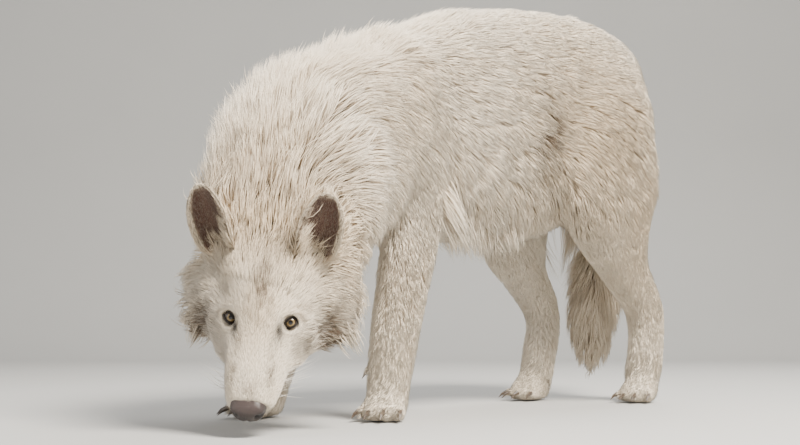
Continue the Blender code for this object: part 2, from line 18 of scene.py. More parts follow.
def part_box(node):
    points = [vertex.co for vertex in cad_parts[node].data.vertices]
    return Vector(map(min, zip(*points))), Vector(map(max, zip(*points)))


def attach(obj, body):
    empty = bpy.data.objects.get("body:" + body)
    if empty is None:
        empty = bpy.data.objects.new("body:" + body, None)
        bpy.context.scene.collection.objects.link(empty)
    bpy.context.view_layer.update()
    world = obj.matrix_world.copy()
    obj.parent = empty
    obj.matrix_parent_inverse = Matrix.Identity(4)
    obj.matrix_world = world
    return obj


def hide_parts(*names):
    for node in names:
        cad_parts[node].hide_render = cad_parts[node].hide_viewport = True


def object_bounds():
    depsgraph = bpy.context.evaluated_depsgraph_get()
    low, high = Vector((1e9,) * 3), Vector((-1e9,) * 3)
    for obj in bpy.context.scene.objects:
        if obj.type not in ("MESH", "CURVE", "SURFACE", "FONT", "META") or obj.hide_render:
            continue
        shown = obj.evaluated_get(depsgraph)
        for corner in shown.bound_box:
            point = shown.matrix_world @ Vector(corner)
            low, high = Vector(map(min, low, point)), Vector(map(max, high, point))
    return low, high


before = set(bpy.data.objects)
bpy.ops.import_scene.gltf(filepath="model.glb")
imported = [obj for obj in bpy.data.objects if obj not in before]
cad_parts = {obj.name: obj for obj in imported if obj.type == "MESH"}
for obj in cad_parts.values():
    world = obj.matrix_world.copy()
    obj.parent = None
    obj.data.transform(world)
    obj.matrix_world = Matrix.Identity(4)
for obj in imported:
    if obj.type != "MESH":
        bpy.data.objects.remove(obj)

CAD_LOW, CAD_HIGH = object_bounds()
BODY = "root"
UV_NAME = "OFBake"
SEED = 7
SIDES = (("left", -1.0), ("right", 1.0))  # the sign is that of the head's own x axis
NOT_FLESH = ("eye_", "nose", "foreclaw_", "hindclaw_")

log = logging.getLogger("wolf")

Array = np.ndarray
Triple = tuple[float, float, float]
Colour = Triple
Number = Union[float, int, "Sock"]
Paint = Union[Colour, "Sock"]
Values = dict[str, Array]  # one number for each place, by name
Facets = tuple[Array, list[tuple[int, ...]]]  # points, and the faces between them


# ---- node kit


class Sock:
    """An output of a node, whose arithmetic adds Math nodes."""

    def __init__(self, shader: "Shader", socket: NodeSocket) -> None:
        """Keeps the shader that the socket belongs to.

        Args:
            shader: The shader whose tree holds the socket.
            socket: The output that later nodes read.
        """
        self.shader = shader
        self.socket = socket

    def _math(self, operation: str, first: Number, second: Number) -> "Sock":
        """One Math node on two values."""
        return self.shader.node("ShaderNodeMath", {"operation": operation}, {0: first, 1: second})

    def __add__(self, other: Number) -> "Sock":
        """The sum."""
        return self._math("ADD", self, other)

    __radd__ = __add__

    def __sub__(self, other: Number) -> "Sock":
        """The difference."""
        return self._math("SUBTRACT", self, other)

    def __rsub__(self, other: Number) -> "Sock":
        """The difference, taken from a number."""
        return self._math("SUBTRACT", other, self)

    def __mul__(self, other: Number) -> "Sock":
        """The product."""
        return self._math("MULTIPLY", self, other)

    __rmul__ = __mul__

    def __pow__(self, other: Number) -> "Sock":
        """The power."""
        return self._math("POWER", self, other)

    def at_most(self, other: Number) -> "Sock":
        """The smaller of the two."""
        return self._math("MINIMUM", self, other)


class Shader:
    """A material with one Principled surface, and the nodes that feed it."""

    def __init__(self, name: str) -> None:
        """Starts an empty material.

        Args:
            name: The material's name.
        """
        self.material = bpy.data.materials.new(name)
        self.material.use_nodes = True
        self.tree = self.material.node_tree
        self.tree.nodes.clear()
        self.output = self.tree.nodes.new("ShaderNodeOutputMaterial")
        self.surface = self.tree.nodes.new("ShaderNodeBsdfPrincipled")
        self.tree.links.new(self.surface.outputs[0], self.output.inputs["Surface"])

    def node(self, kind: str, settings: dict, sockets: dict, output: Union[int, str] = 0) -> Sock:
        """Adds any node.

        Args:
            kind: The node's type.
            settings: Properties to set first; "stops" holds a ramp's (place, colour) pairs.
            sockets: Input names or numbers, with the values or links that they take.
            output: The output to hand back.

        Returns:
            The chosen output.
        """
        made = self.tree.nodes.new(kind)
        for name, value in settings.items():
            if name == "stops":
                self._fill_ramp(made.color_ramp, value)
            else:
                setattr(made, name, value)
        for name, value in sockets.items():
            self.feed(made.inputs[name], value)
        return Sock(self, made.outputs[output])

    @staticmethod
    def _fill_ramp(ramp: ColorRamp, stops: Sequence[tuple[float, Colour]]) -> None:
        """Sets a ramp's stops.

        Args:
            ramp: The ramp of a node.
            stops: Places from 0 to 1, each with its colour.
        """
        while len(ramp.elements) < len(stops):
            ramp.elements.new(1.0)
        for element, (place, colour) in zip(ramp.elements, stops):
            element.position = place
            element.color = (*colour, 1.0)

    def feed(self, socket: NodeSocket, value: Union[Number, Sequence[float]]) -> None:
        """Links or sets one input.

        Args:
            socket: The input.
            value: A link or a value; three numbers become an opaque colour where one is taken.
        """
        if isinstance(value, Sock):
            self.tree.links.new(value.socket, socket)
        elif isinstance(value, tuple) and len(value) == 3 and len(socket.default_value) == 4:
            socket.default_value = (*value, 1.0)
        else:
            socket.default_value = value

    def dress(self, **inputs: Union[Number, Sequence[float]]) -> Material:
        """Feeds the Principled surface.

        Args:
            inputs: Each input's value or link, by its name with underscores between the words.

        Returns:
            The finished material.
        """
        for name, value in inputs.items():
            self.feed(self.surface.inputs[name.replace("_", " ")], value)
        return self.material

    def mix(self, factor: Number, first: Paint, second: Paint, how: str = "MIX") -> Sock:
        """A blend of two colours."""
        settings = {"data_type": "RGBA", "blend_type": how, "clamp_factor": True}
        return self.node("ShaderNodeMix", settings, {0: factor, 6: first, 7: second}, 2)

    def attribute(self, name: str, output: str = "Fac") -> Sock:
        """A value that the mesh carries at each point."""
        return self.node("ShaderNodeAttribute", {"attribute_name": name}, {}, output)

    def place(self) -> Sock:
        """The object's own coordinates, in metres."""
        return self.node("ShaderNodeTexCoord", {}, {}, "Object")

    def noise(self, where: Sock, scale: float, detail: float = 3.0, rough: float = 0.55) -> Sock:
        """Soft noise from 0 to 1."""
        sockets = {"Vector": where, "Scale": scale, "Detail": detail, "Roughness": rough}
        return self.node("ShaderNodeTexNoise", {}, sockets, "Fac")

    def stretch(self, where: Sock, scale: Triple) -> Sock:
        """The coordinates, scaled along each axis."""
        return self.node("ShaderNodeVectorMath", {"operation": "MULTIPLY"}, {0: where, 1: scale})

    def bump(self, height: Sock, distance: float, strength: float = 1.0) -> Sock:
        """A Bump node on a height."""
        sockets = {"Height": height, "Distance": distance, "Strength": strength}
        return self.node("ShaderNodeBump", {}, sockets, "Normal")


# ---- finishes


class Mark(Enum):
    """The tints that markings lay over the ivory of the coat."""

    WARM = "warm"
    SMOKE = "smoke"
    # black pigment about the eyes and at the lids' rims, and painted shade in the ears' hollows and the
    # nostrils
    DARK = "dark"
    PINK = "pink"


@dataclass(frozen=True)
class CoatFinish:
    """Hair and skin of one winter coat: ivory, tinted where the markings say."""

    name: str
    combed: bool = False  # whether it is the skin's, with fine hair drawn in its bump and painted shade in the grooves between those hairs
    ivory: Colour = (0.86, 0.775, 0.650)
    oat: Colour = (0.78, 0.675, 0.52)
    cream: Colour = (0.66, 0.53, 0.36)
    smoke: Colour = (0.16, 0.115, 0.075)
    # black pigment at the lids and about the eyes, and painted shade in the ears' hollows
    dark: Colour = (0.018, 0.014, 0.012)
    pink: Colour = (0.085, 0.042, 0.032)
    shade: Colour = (0.74, 0.65, 0.55)  # the darker undercoat, and painted shade deep in the coat: what the roots of the hair multiply by
    dark_hair_and_groove_shade: Colour = (0.72, 0.68, 0.62)  # what the darkest hairs multiply by, and the painted shade in the grooves of the hair drawn on the skin
    rough: float = 0.72
    drift: float = 9.0  # the scale of the patches of oat in the ivory
    grain: float = 900.0
    relief: float = 0.0006
    comb: float = 700.0  # the scale and depth of the hair drawn in the skin's bump
    combed_relief: float = 0.0016

    def make(self) -> Material:
        """Reads the marks and the hair's own values from the mesh.

        Returns:
            The material.
        """
        shader = Shader(self.name)
        along = shader.attribute("along")
        lock = shader.attribute("lock")
        place = shader.place()
        drift = shader.noise(place, self.drift, 2.0)
        body = shader.mix((drift - 0.45) * 1.4, self.ivory, self.oat)
        body = shader.mix(shader.attribute(Mark.WARM.value), body, self.cream)
        flecks = shader.attribute(Mark.SMOKE.value) * (0.1 + lock**2.0 * 1.9)
        body = shader.mix(flecks * (1.25 - along * 0.5), body, self.smoke)
        body = shader.mix(shader.attribute(Mark.PINK.value), body, self.pink)
        body = shader.mix(shader.attribute(Mark.DARK.value), body, self.dark)
        # the darker undercoat and painted shade deep in the coat, strongest at the roots
        depth = (1.0 - along) ** 1.6
        body = shader.mix(depth * 0.7, body, self.shade, "MULTIPLY")
        body = shader.mix(lock**3.0 * 0.6, body, self.dark_hair_and_groove_shade, "MULTIPLY")
        if self.combed:
            fine = shader.noise(shader.attribute("comb", "Vector"), self.comb, 3.0, 0.65)
            # painted shade in the grooves between the fine hairs drawn on the skin
            body = shader.mix((0.62 - fine) * 2.6, body, self.dark_hair_and_groove_shade, "MULTIPLY")
        else:
            fine = shader.noise(place, self.grain, 2.0)
        return shader.dress(
            Base_Color=body,
            Roughness=self.rough,
            Specular_IOR_Level=0.25,
            Sheen_Weight=0.12,
            Sheen_Roughness=0.5,
            Normal=shader.bump(fine, self.combed_relief if self.combed else self.relief, 0.7),
        )


@dataclass(frozen=True)
class IrisFinish:
    """The eye's ball: a black pupil, an amber iris with fine flecks, and a dark rim."""

    pupil: Colour = (0.003, 0.003, 0.003)
    amber: Colour = (0.12, 0.078, 0.030)
    straw: Colour = (0.26, 0.185, 0.078)
    rim: Colour = (0.02, 0.012, 0.007)
    white: Colour = (0.030, 0.020, 0.016)
    fleck: Colour = (0.30, 0.16, 0.05)  # what the flecks multiply by
    grain: float = 1400.0

    def make(self) -> Material:
        """Reads how far round the ball each point is from the pupil's middle.

        Returns:
            The material.
        """
        shader = Shader("iris")
        spread = shader.attribute("spread")
        stops = [
            (0.0, self.pupil),
            (0.145, self.pupil),
            (0.17, self.amber),
            (0.235, self.straw),
            (0.315, self.amber),
            (0.35, self.rim),
            (0.45, self.rim),
            (0.6, self.white),
        ]
        base = shader.node("ShaderNodeValToRGB", {"stops": stops}, {0: spread}, "Color")
        flecks = shader.noise(shader.place(), self.grain, 2.0)
        return shader.dress(
            Base_Color=shader.mix((flecks - 0.35) * 0.9, base, self.fleck, "MULTIPLY"),
            Roughness=0.08,
            Coat_Weight=0.4,
            Coat_Roughness=0.02,
            Specular_IOR_Level=0.35,
        )


@dataclass(frozen=True)
class LeatherFinish:
    """Bare damp skin: the nose and the lips."""

    name: str
    base: Colour
    light: Colour
    rough: float
    grain: float
    depth: float
    coat: float = 0.0
    painted_furrow_shade: Colour = (0.3, 0.3, 0.3)  # painted shade in the lines between the cells: what they multiply by
    blush: Colour = (0.048, 0.029, 0.026)
    # painted shade, black, in the nostrils where the mesh's dark mark says
    painted_pit_shade: Colour = (0.004, 0.003, 0.003)

    def make(self) -> Material:
        """Pebbled cells over a tint that drifts, with painted shade in the lines between the cells; paler
        where the mesh says, and black with painted shade in the nostrils.

        Returns:
            The material.
        """
        shader = Shader(self.name)
        place = shader.place()
        sockets = {"Vector": place, "Scale": self.grain}
        edge = shader.node("ShaderNodeTexVoronoi", {"feature": "DISTANCE_TO_EDGE"}, sockets, "Distance")
        cells = (edge * 5.0).at_most(1.0)
        drift = shader.noise(place, 60.0)
        colour = shader.mix((drift - 0.3) * 1.6, self.base, self.light)
        # painted shade in the lines between the cells
        colour = shader.mix(1.0 - cells, colour, self.painted_furrow_shade, "MULTIPLY")
        colour = shader.mix(shader.attribute(Mark.PINK.value), colour, self.blush)
        # painted shade, black, in the nostrils
        colour = shader.mix(shader.attribute(Mark.DARK.value), colour, self.painted_pit_shade)
        return shader.dress(
            Base_Color=colour,
            Roughness=self.rough,
            Coat_Weight=self.coat,
            Coat_Roughness=0.25,
            Normal=shader.bump(cells, self.depth, 0.8),
        )


@dataclass(frozen=True)
class HornFinish:
    """Claw horn: dark, with paler worn patches and fine upright lines."""

    horn: Colour = (0.035, 0.026, 0.02)
    worn: Colour = (0.16, 0.12, 0.085)
    wear: float = 120.0
    lines: Triple = (900.0, 900.0, 120.0)

    def make(self) -> Material:
        """Draws the lines in the bump and the gloss alike.

        Returns:
            The material.
        """
        shader = Shader("claw_horn")
        place = shader.place()
        drift = shader.noise(place, self.wear)
        lines = shader.noise(shader.stretch(place, self.lines), 1.0)
        return shader.dress(
            Base_Color=shader.mix((drift - 0.25) * 1.5, self.horn, self.worn),
            Roughness=0.22 + lines * 0.3,
            Coat_Weight=0.3,
            Normal=shader.bump(lines, 0.0003, 0.6),
        )


@dataclass(frozen=True)
class PlainFinish:
    """A soft drift between two near tints, for the whiskers and the studio."""

    name: str
    base: Colour
    other: Colour
    rough: float
    scale: float

    def make(self) -> Material:
        """Drifts between the two tints.

        Returns:
            The material.
        """
        shader = Shader(self.name)
        drift = shader.noise(shader.place(), self.scale)
        return shader.dress(Base_Color=shader.mix(drift, self.base, self.other), Roughness=self.rough)


NOSE_LEATHER = LeatherFinish(
    "nose_leather", (0.026, 0.019, 0.018), (0.06, 0.041, 0.036), rough=0.5, grain=800.0, depth=5e-4, coat=0.15
)
LIP_LEATHER = LeatherFinish(
    "lips", (0.018, 0.014, 0.013), (0.035, 0.026, 0.024), rough=0.4, grain=900.0, depth=3e-4, coat=0.2
)
WHISKER_HAIR = PlainFinish("whiskers", (0.75, 0.72, 0.66), (0.55, 0.50, 0.44), rough=0.4, scale=200.0)
STUDIO_PAPER = PlainFinish("sweep", (0.44, 0.44, 0.43), (0.47, 0.47, 0.46), rough=0.8, scale=2.0)


# ---- places


def unit(vectors: Array) -> Array:
    """Rows scaled to length 1."""
    return vectors / np.maximum(np.linalg.norm(vectors, axis=-1, keepdims=True), 1e-9)


def flatten(vectors: Array, normals: Array) -> Array:
    """Rows laid in the plane of their normals, at length 1."""
    return unit(vectors - normals * np.sum(vectors * normals, axis=1, keepdims=True))


@dataclass
class Head:
    """The head's own axes: x to the wolf's right, y along the muzzle, z up through the crown."""

    heading: float = 45.0
    pitch: float = 62.0
    lean: float = 5.0
    eye_lift: Vector = field(default_factory=lambda: Vector((0.0, -0.002, -0.0085)))

    def __post_init__(self) -> None:
        """Works the axes out from the angles, and the origin from the eyes."""
        heading = math.radians(self.heading)
        pitch = math.radians(self.pitch)
        level = Vector((math.sin(heading), -math.cos(heading), 0.0))
        forward = level * math.cos(pitch) - Vector((0, 0, math.sin(pitch)))
        crown = level * math.sin(pitch) + Vector((0, 0, math.cos(pitch)))
        axes = Matrix((forward.cross(crown), forward, crown)).transposed()
        self.axes = Matrix.Rotation(math.radians(-self.lean), 3, level) @ axes
        self.eyes = {side: sum_of(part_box(f"eye_{side}")) / 2 for side, _ in SIDES}
        self.origin = (self.eyes["left"] + self.eyes["right"]) / 2 - self.axes @ self.eye_lift

    def place(self, x: float, y: float, z: float) -> Vector:
        """A place of the head, in the shared frame."""
        return self.origin + self.axes @ Vector((x, y, z))

    def turn(self, x: float, y: float, z: float) -> Vector:
        """A direction of the head, in the shared frame."""
        return self.axes @ Vector((x, y, z))

    def local(self, points: Array) -> Array:
        """Places of the shared frame, in the head's axes."""
        return (points - np.array(self.origin)) @ np.array(self.axes)

    def world(self, points: Array) -> Array:
        """Places in the head's axes, in the shared frame."""
        return points @ np.array(self.axes).T + np.array(self.origin)


def sum_of(corners: Sequence[Sequence[float]]) -> Vector:
    """The sum of two corners."""
    return Vector(corners[0]) + Vector(corners[1])


def flesh_names() -> list[str]:
    """The nodes of flesh."""
    return sorted(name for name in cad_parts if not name.startswith(NOT_FLESH))


def part_place(part: str, u: float, v: float, w: float) -> Vector:
    """A place in a named part's box, where each side runs from 0 to 1."""
    low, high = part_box(part)
    return Vector([low[i] + (high[i] - low[i]) * (u, v, w)[i] for i in range(3)])


MIDLINE = (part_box("thigh_left")[1][0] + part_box("thigh_right")[0][0]) / 2


# ---- the lie of the coat


@dataclass(frozen=True)
class Hair:
    """One kind of hair, in metres."""

    length: float
    depth: float  # how high the tips stand over the skin
    loose: float  # 0 for hair that hugs the skin, 1 for hair that stands free
    width: float
    spacing: float  # from root to root
    clump: float  # how far the tips of a lock are drawn together


MUZZLE = Hair(0.0090, 0.0020, 0.0, 0.0008, 0.0016, 0.1)
EYELID = Hair(0.0070, 0.0018, 0.0, 0.0007, 0.0012, 0.1)
FACE = Hair(0.0200, 0.0045, 0.0, 0.0008, 0.0014, 0.25)
CHEEK = Hair(0.0320, 0.0085, 0.1, 0.0010, 0.0021, 0.3)
RUFF = Hair(0.0640, 0.0250, 0.28, 0.0014, 0.0024, 0.5)
NAPE = Hair(0.0400, 0.0150, 0.1, 0.0013, 0.0026, 0.3)
MANE = Hair(0.1020, 0.0650, 0.6, 0.0022, 0.0042, 0.5)
NECK = Hair(0.0750, 0.0320, 0.25, 0.0023, 0.0045, 0.45)
BODY_HAIR = Hair(0.0480, 0.0160, 0.05, 0.0020, 0.0042, 0.38)
BELLY = Hair(0.0700, 0.0220, 0.5, 0.0028, 0.0052, 0.55)
BREECH = Hair(0.0700, 0.0240, 0.35, 0.0028, 0.0050, 0.45)
LEG = Hair(0.0200, 0.0045, 0.05, 0.0012, 0.0026, 0.18)
PAW = Hair(0.0110, 0.0026, 0.0, 0.0014, 0.0024, 0.2)
TAIL = Hair(0.1050, 0.0320, 0.5, 0.0030, 0.0052, 0.5)
EAR = Hair(0.0110, 0.0016, 0.0, 0.0010, 0.0018, 0.15)


@dataclass
class Guide:
    """The hair about one place: its kind, and the way that it points."""

    at: Vector
    toward: Vector
    hair: Hair
    reach: float


def comb_along(mesh: Mesh, head: Head, lie: "Lie") -> None:
    """Keeps coordinates that are squeezed along the lie of the coat, so that fine noise runs with the hair.

    Args:
        mesh: The skin or a piece that carries on from it.
        head: The head's axes, which the face is measured by.
        lie: The lie of the coat.
    """
    points = read_points(mesh)
    toward = unit(flatten(lie.read(points)[0], read_normals(mesh)))
    gap = points - np.array(head.origin)
    squeezed = gap - toward * (0.93 * np.sum(gap * toward, axis=1, keepdims=True))
    layer = mesh.attributes.new("comb", "FLOAT_VECTOR", "POINT")
    layer.data.foreach_set("vector", squeezed.astype(np.float32).ravel())


def rise_of(length: Array, share: Union[float, Array]) -> Array:
    """How high a point stands in the coat's light, from its hair's length and its share of that length."""
    base = np.clip(1 - length / 0.055, 0, 0.85)
    return base + (1 - base) * share


class Lie:
    """The lie of the whole coat, blended between listed guides."""

    FIELDS = ("length", "depth", "loose", "width", "spacing", "clump")
    BLOCK = 20000  # how many places are blended at once

    def __init__(self, head: Head) -> None:
        """Sets the guides.

        Args:
            head: The head's axes.
        """
        self.head = head
        self.guides: list[Guide] = []
        self._head_guides()
        self._neck_guides()
        self._trunk_guides()
        self._leg_guides()
        self.at = np.array([g.at for g in self.guides], dtype=np.float32)
        self.toward = np.array([g.toward.normalized() for g in self.guides], dtype=np.float32)
        self.reach = np.array([g.reach for g in self.guides], dtype=np.float32)
        sizes = [[getattr(g.hair, name) for name in self.FIELDS] for g in self.guides]
        self.values = np.array(sizes, dtype=np.float32)

    def _head_guides(self) -> None:
        """The face, cheeks, crown and ears, in the head's axes; x is mirrored."""
        rows = [
            ((0.0, 0.105, -0.012), (0.0, -1.0, 0.1), MUZZLE, 0.022),
            ((0.0, 0.055, 0.004), (0.0, -1.0, 0.1), MUZZLE, 0.022),
            ((0.022, 0.1, -0.035), (0.15, -1.0, 0.0), MUZZLE, 0.022),
            ((0.032, 0.04, -0.03), (0.3, -1.0, 0.0), MUZZLE, 0.022),
            ((0.0, 0.09, -0.062), (0.0, -1.0, -0.1), MUZZLE, 0.024),
            ((0.034, 0.0, -0.065), (0.5, -0.8, -0.2), FACE, 0.024),
            ((0.0, -0.01, 0.014), (0.0, -1.0, 0.2), FACE, 0.02),
            ((0.044, 0.01, 0.004), (0.4, -0.6, -0.2), EYELID, 0.015),
            ((0.029, 0.02, 0.006), (0.2, -1.0, 0.1), EYELID, 0.014),
            ((0.05, 0.025, -0.03), (0.6, -0.7, 0.0), MUZZLE, 0.02),
            ((0.036, -0.026, 0.014), (0.45, -0.9, 0.3), FACE, 0.02),
            ((0.0, -0.05, 0.035), (0.0, -1.0, 0.5), FACE, 0.024),
            ((0.045, -0.058, 0.025), (0.35, -1.0, 0.5), FACE, 0.024),
            ((0.0, -0.1, 0.058), (0.0, -1.0, 0.7), NAPE, 0.026),
            ((0.05, -0.11, 0.045), (0.1, -1.0, 0.6), NAPE, 0.026),
            ((0.07, -0.045, -0.008), (0.75, -0.65, 0.0), FACE, 0.024),
            ((0.075, -0.012, -0.035), (0.9, 0.1, -0.35), CHEEK, 0.024),
            ((0.098, -0.015, -0.05), (0.8, 0.45, -0.5), RUFF, 0.028),
            ((0.098, -0.055, -0.015), (0.95, 0.05, -0.25), CHEEK, 0.028),
            ((0.12, -0.075, -0.03), (0.9, 0.15, -0.4), RUFF, 0.032),
            ((0.06, 0.0, -0.095), (0.6, -0.3, -0.7), RUFF, 0.035),
            ((0.0, -0.04, -0.13), (0.0, -0.8, -0.6), RUFF, 0.04),
            ((0.088, -0.125, 0.07), (0.14, -0.44, 0.87), EAR, 0.022),
            ((0.092, -0.15, 0.11), (0.14, -0.44, 0.87), EAR, 0.024),
        ]
        for at, toward, hair, reach in rows:
            for s in (-1.0, 1.0) if at[0] else (1.0,):
                place = self.head.place(at[0] * s, *at[1:])
                self.guides.append(Guide(place, self.head.turn(toward[0] * s, *toward[1:]), hair, reach))

    def _part_guides(self, rows: Sequence[tuple], mirrored: bool) -> None:
        """Guides given by a part's box, and their twins across the midline.

        Args:
            rows: A part, a place in its box, the way of the hair, its kind and the guide's reach.
            mirrored: Whether each guide has a twin.
        """
        for part, at, toward, hair, reach in rows:
            place = part_place(part, *at)
            self.guides.append(Guide(place, Vector(toward), hair, reach))
            if mirrored:
                twin = Vector((2 * MIDLINE - place.x, place.y, place.z))
                self.guides.append(Guide(twin, Vector((-toward[0], toward[1], toward[2])), hair, reach))

    def _neck_guides(self) -> None:
        """The mane, which fans out from behind the head."""
        rows = [
            ("neck", (0.84, 0.1, 0.23), (0.05, 0.3, 0.95), NECK, 0.05),
            ("neck", (0.86, 0.17, 0.4), (0.05, 0.45, 0.9), MANE, 0.06),
            ("neck", (0.6, 0.1, 0.55), (-0.25, 0.45, 0.85), MANE, 0.06),
            ("neck", (0.55, 0.35, 0.85), (-0.2, 0.75, 0.6), MANE, 0.06),
            ("neck", (0.45, 0.75, 0.98), (-0.15, 1.0, 0.25), MANE, 0.06),
            ("neck", (0.9, 0.36, 0.55), (-0.05, 0.75, 0.6), NECK, 0.06),
            ("neck", (0.8, 0.7, 0.7), (0.0, 1.0, 0.05), NECK, 0.06),
            ("neck", (0.95, 0.65, 0.42), (0.0, 0.9, -0.25), NECK, 0.06),
            ("neck", (0.94, 0.5, 0.1), (0.0, 0.75, -0.55), NECK, 0.06),
            ("neck", (0.25, 0.12, 0.5), (-0.35, 0.65, 0.65), MANE, 0.06),
            ("neck", (0.3, 0.02, 0.15), (-0.5, 0.6, 0.25), NECK, 0.06),
            ("neck", (0.05, 0.6, 0.6), (-0.2, 0.95, 0.0), NECK, 0.06),
            ("neck", (0.1, 0.5, 0.2), (-0.35, 0.75, -0.5), NECK, 0.06),
            ("neck", (0.45, 0.6, 0.02), (-0.3, 0.8, -0.5), BELLY, 0.06),
        ]
        self._part_guides(rows, False)

    def _trunk_guides(self) -> None:
        """The back, sides, belly, haunches and tail."""
        centre = [
            ("trunk", (0.394, 0.3, 0.78), (0.0, 1.0, 0.25), NECK, 0.06),
            ("trunk", (0.394, 0.5, 0.88), (0.0, 1.0, 0.15), BODY_HAIR, 0.08),
            ("trunk", (0.394, 0.78, 1.0), (0.0, 1.0, -0.15), BODY_HAIR, 0.08),
            ("trunk", (0.394, 0.97, 0.85), (0.0, 0.4, -0.9), BODY_HAIR, 0.06),
            ("trunk", (0.394, 0.42, 0.12), (0.0, 0.8, -0.6), BELLY, 0.08),
            ("trunk", (0.394, 0.1, 0.12), (0.0, 0.8, -0.6), BELLY, 0.08),
            ("trunk", (0.394, 0.96, 0.5), (0.0, 0.2, -1.0), BREECH, 0.05),
            ("tail", (0.5, 0.8, 0.95), (0.0, 0.4, -0.95), BODY_HAIR, 0.04),
            ("tail", (0.5, 0.9, 0.7), (0.0, -0.1, -1.0), TAIL, 0.06),
            ("tail", (0.5, 0.6, 0.45), (0.0, -0.25, -1.0), TAIL, 0.06),
            ("tail", (0.5, 0.3, 0.15), (0.0, -0.15, -1.0), TAIL, 0.06),
        ]
        self._part_guides(centre, False)
        paired = [
            ("trunk", (0.7, 0.32, 0.65), (0.0, 0.95, -0.15), BODY_HAIR, 0.07),
            ("trunk", (0.77, 0.42, 0.5), (0.0, 0.85, -0.5), BODY_HAIR, 0.08),
            ("trunk", (0.66, 0.62, 0.8), (0.0, 1.0, -0.2), BODY_HAIR, 0.08),
            ("trunk", (0.76, 0.58, 0.5), (0.0, 0.85, -0.5), BODY_HAIR, 0.07),
            ("trunk", (0.68, 0.36, 0.25), (0.0, 0.55, -0.85), BELLY, 0.06),
            ("trunk", (0.62, 0.55, 0.22), (0.0, 0.45, -0.9), BELLY, 0.06),
            ("trunk", (0.85, 0.12, 0.45), (0.0, 0.8, -0.6), NECK, 0.06),
            ("thigh_left", (0.75, 0.35, 0.85), (0.0, 0.9, -0.4), BODY_HAIR, 0.07),
            ("thigh_left", (0.95, 0.5, 0.5), (0.0, 0.6, -0.8), BODY_HAIR, 0.07),
            ("thigh_left", (0.8, 0.2, 0.2), (0.0, 0.35, -0.95), BODY_HAIR, 0.06),
            ("thigh_left", (0.6, 0.95, 0.5), (0.0, 0.25, -1.0), BREECH, 0.05),
            ("thigh_left", (0.6, 0.9, 0.15), (0.0, 0.2, -1.0), LEG, 0.05),
            ("upper_arm_left", (0.9, 0.45, 0.7), (0.0, 0.55, -0.85), BODY_HAIR, 0.06),
            ("upper_arm_left", (0.85, 0.45, 0.25), (0.0, 0.25, -1.0), LEG, 0.05),
            ("upper_arm_left", (0.5, 0.95, 0.15), (0.0, 0.5, -0.9), BELLY, 0.04),
        ]
        self._part_guides(paired, True)

    def _leg_guides(self) -> None:
        """The legs and paws."""
        for side, _ in SIDES:
            rows = [
                (f"forearm_{side}", (0.5, 0.3, 0.85), (0.0, 0.05, -1.0), LEG, 0.05),
                (f"forearm_{side}", (0.5, 0.3, 0.2), (0.0, -0.05, -1.0), LEG, 0.05),
                (f"forepaw_{side}", (0.5, 0.75, 0.85), (0.0, -0.25, -1.0), LEG, 0.03),
                (f"forepaw_{side}", (0.5, 0.2, 0.35), (0.0, -0.85, -0.45), PAW, 0.03),
                (f"shank_{side}", (0.5, 0.2, 0.85), (0.0, 0.35, -0.95), LEG, 0.05),
                (f"shank_{side}", (0.5, 0.8, 0.3), (0.0, 0.25, -1.0), LEG, 0.05),
                (f"hindpaw_{side}", (0.5, 0.85, 0.8), (0.0, -0.15, -1.0), LEG, 0.04),
                (f"hindpaw_{side}", (0.5, 0.2, 0.3), (0.0, -0.85, -0.45), PAW, 0.03),
            ]
            self._part_guides(rows, False)

    def read(self, points: Array) -> tuple[Array, Values]:
        """Blends the guides at some places.

        Args:
            points: Places in the shared frame.

        Returns:
            The way the hair points, and each size of the hair by its name.
        """
        toward = np.empty((len(points), 3), dtype=np.float32)
        values = np.empty((len(points), len(self.FIELDS)), dtype=np.float32)
        for start in range(0, len(points), self.BLOCK):
            block = slice(start, start + self.BLOCK)
            piece = points[block].astype(np.float32)
            gaps = piece[:, None, :] - self.at[None, :, :]
            power = -np.sum(gaps * gaps, axis=2) / (2 * self.reach**2)
            weights = np.exp(power - power.max(axis=1, keepdims=True))
            weights /= weights.sum(axis=1, keepdims=True)
            toward[block] = weights @ self.toward
            values[block] = weights @ self.values
        return toward, {name: values[:, i] for i, name in enumerate(self.FIELDS)}


# ---- markings


@dataclass
class Tint:
    """One marking: a soft patch of a mark, with a size along each of its axes."""

    mark: Mark
    at: Triple
    size: Triple
    strength: float
    on_head: bool = False


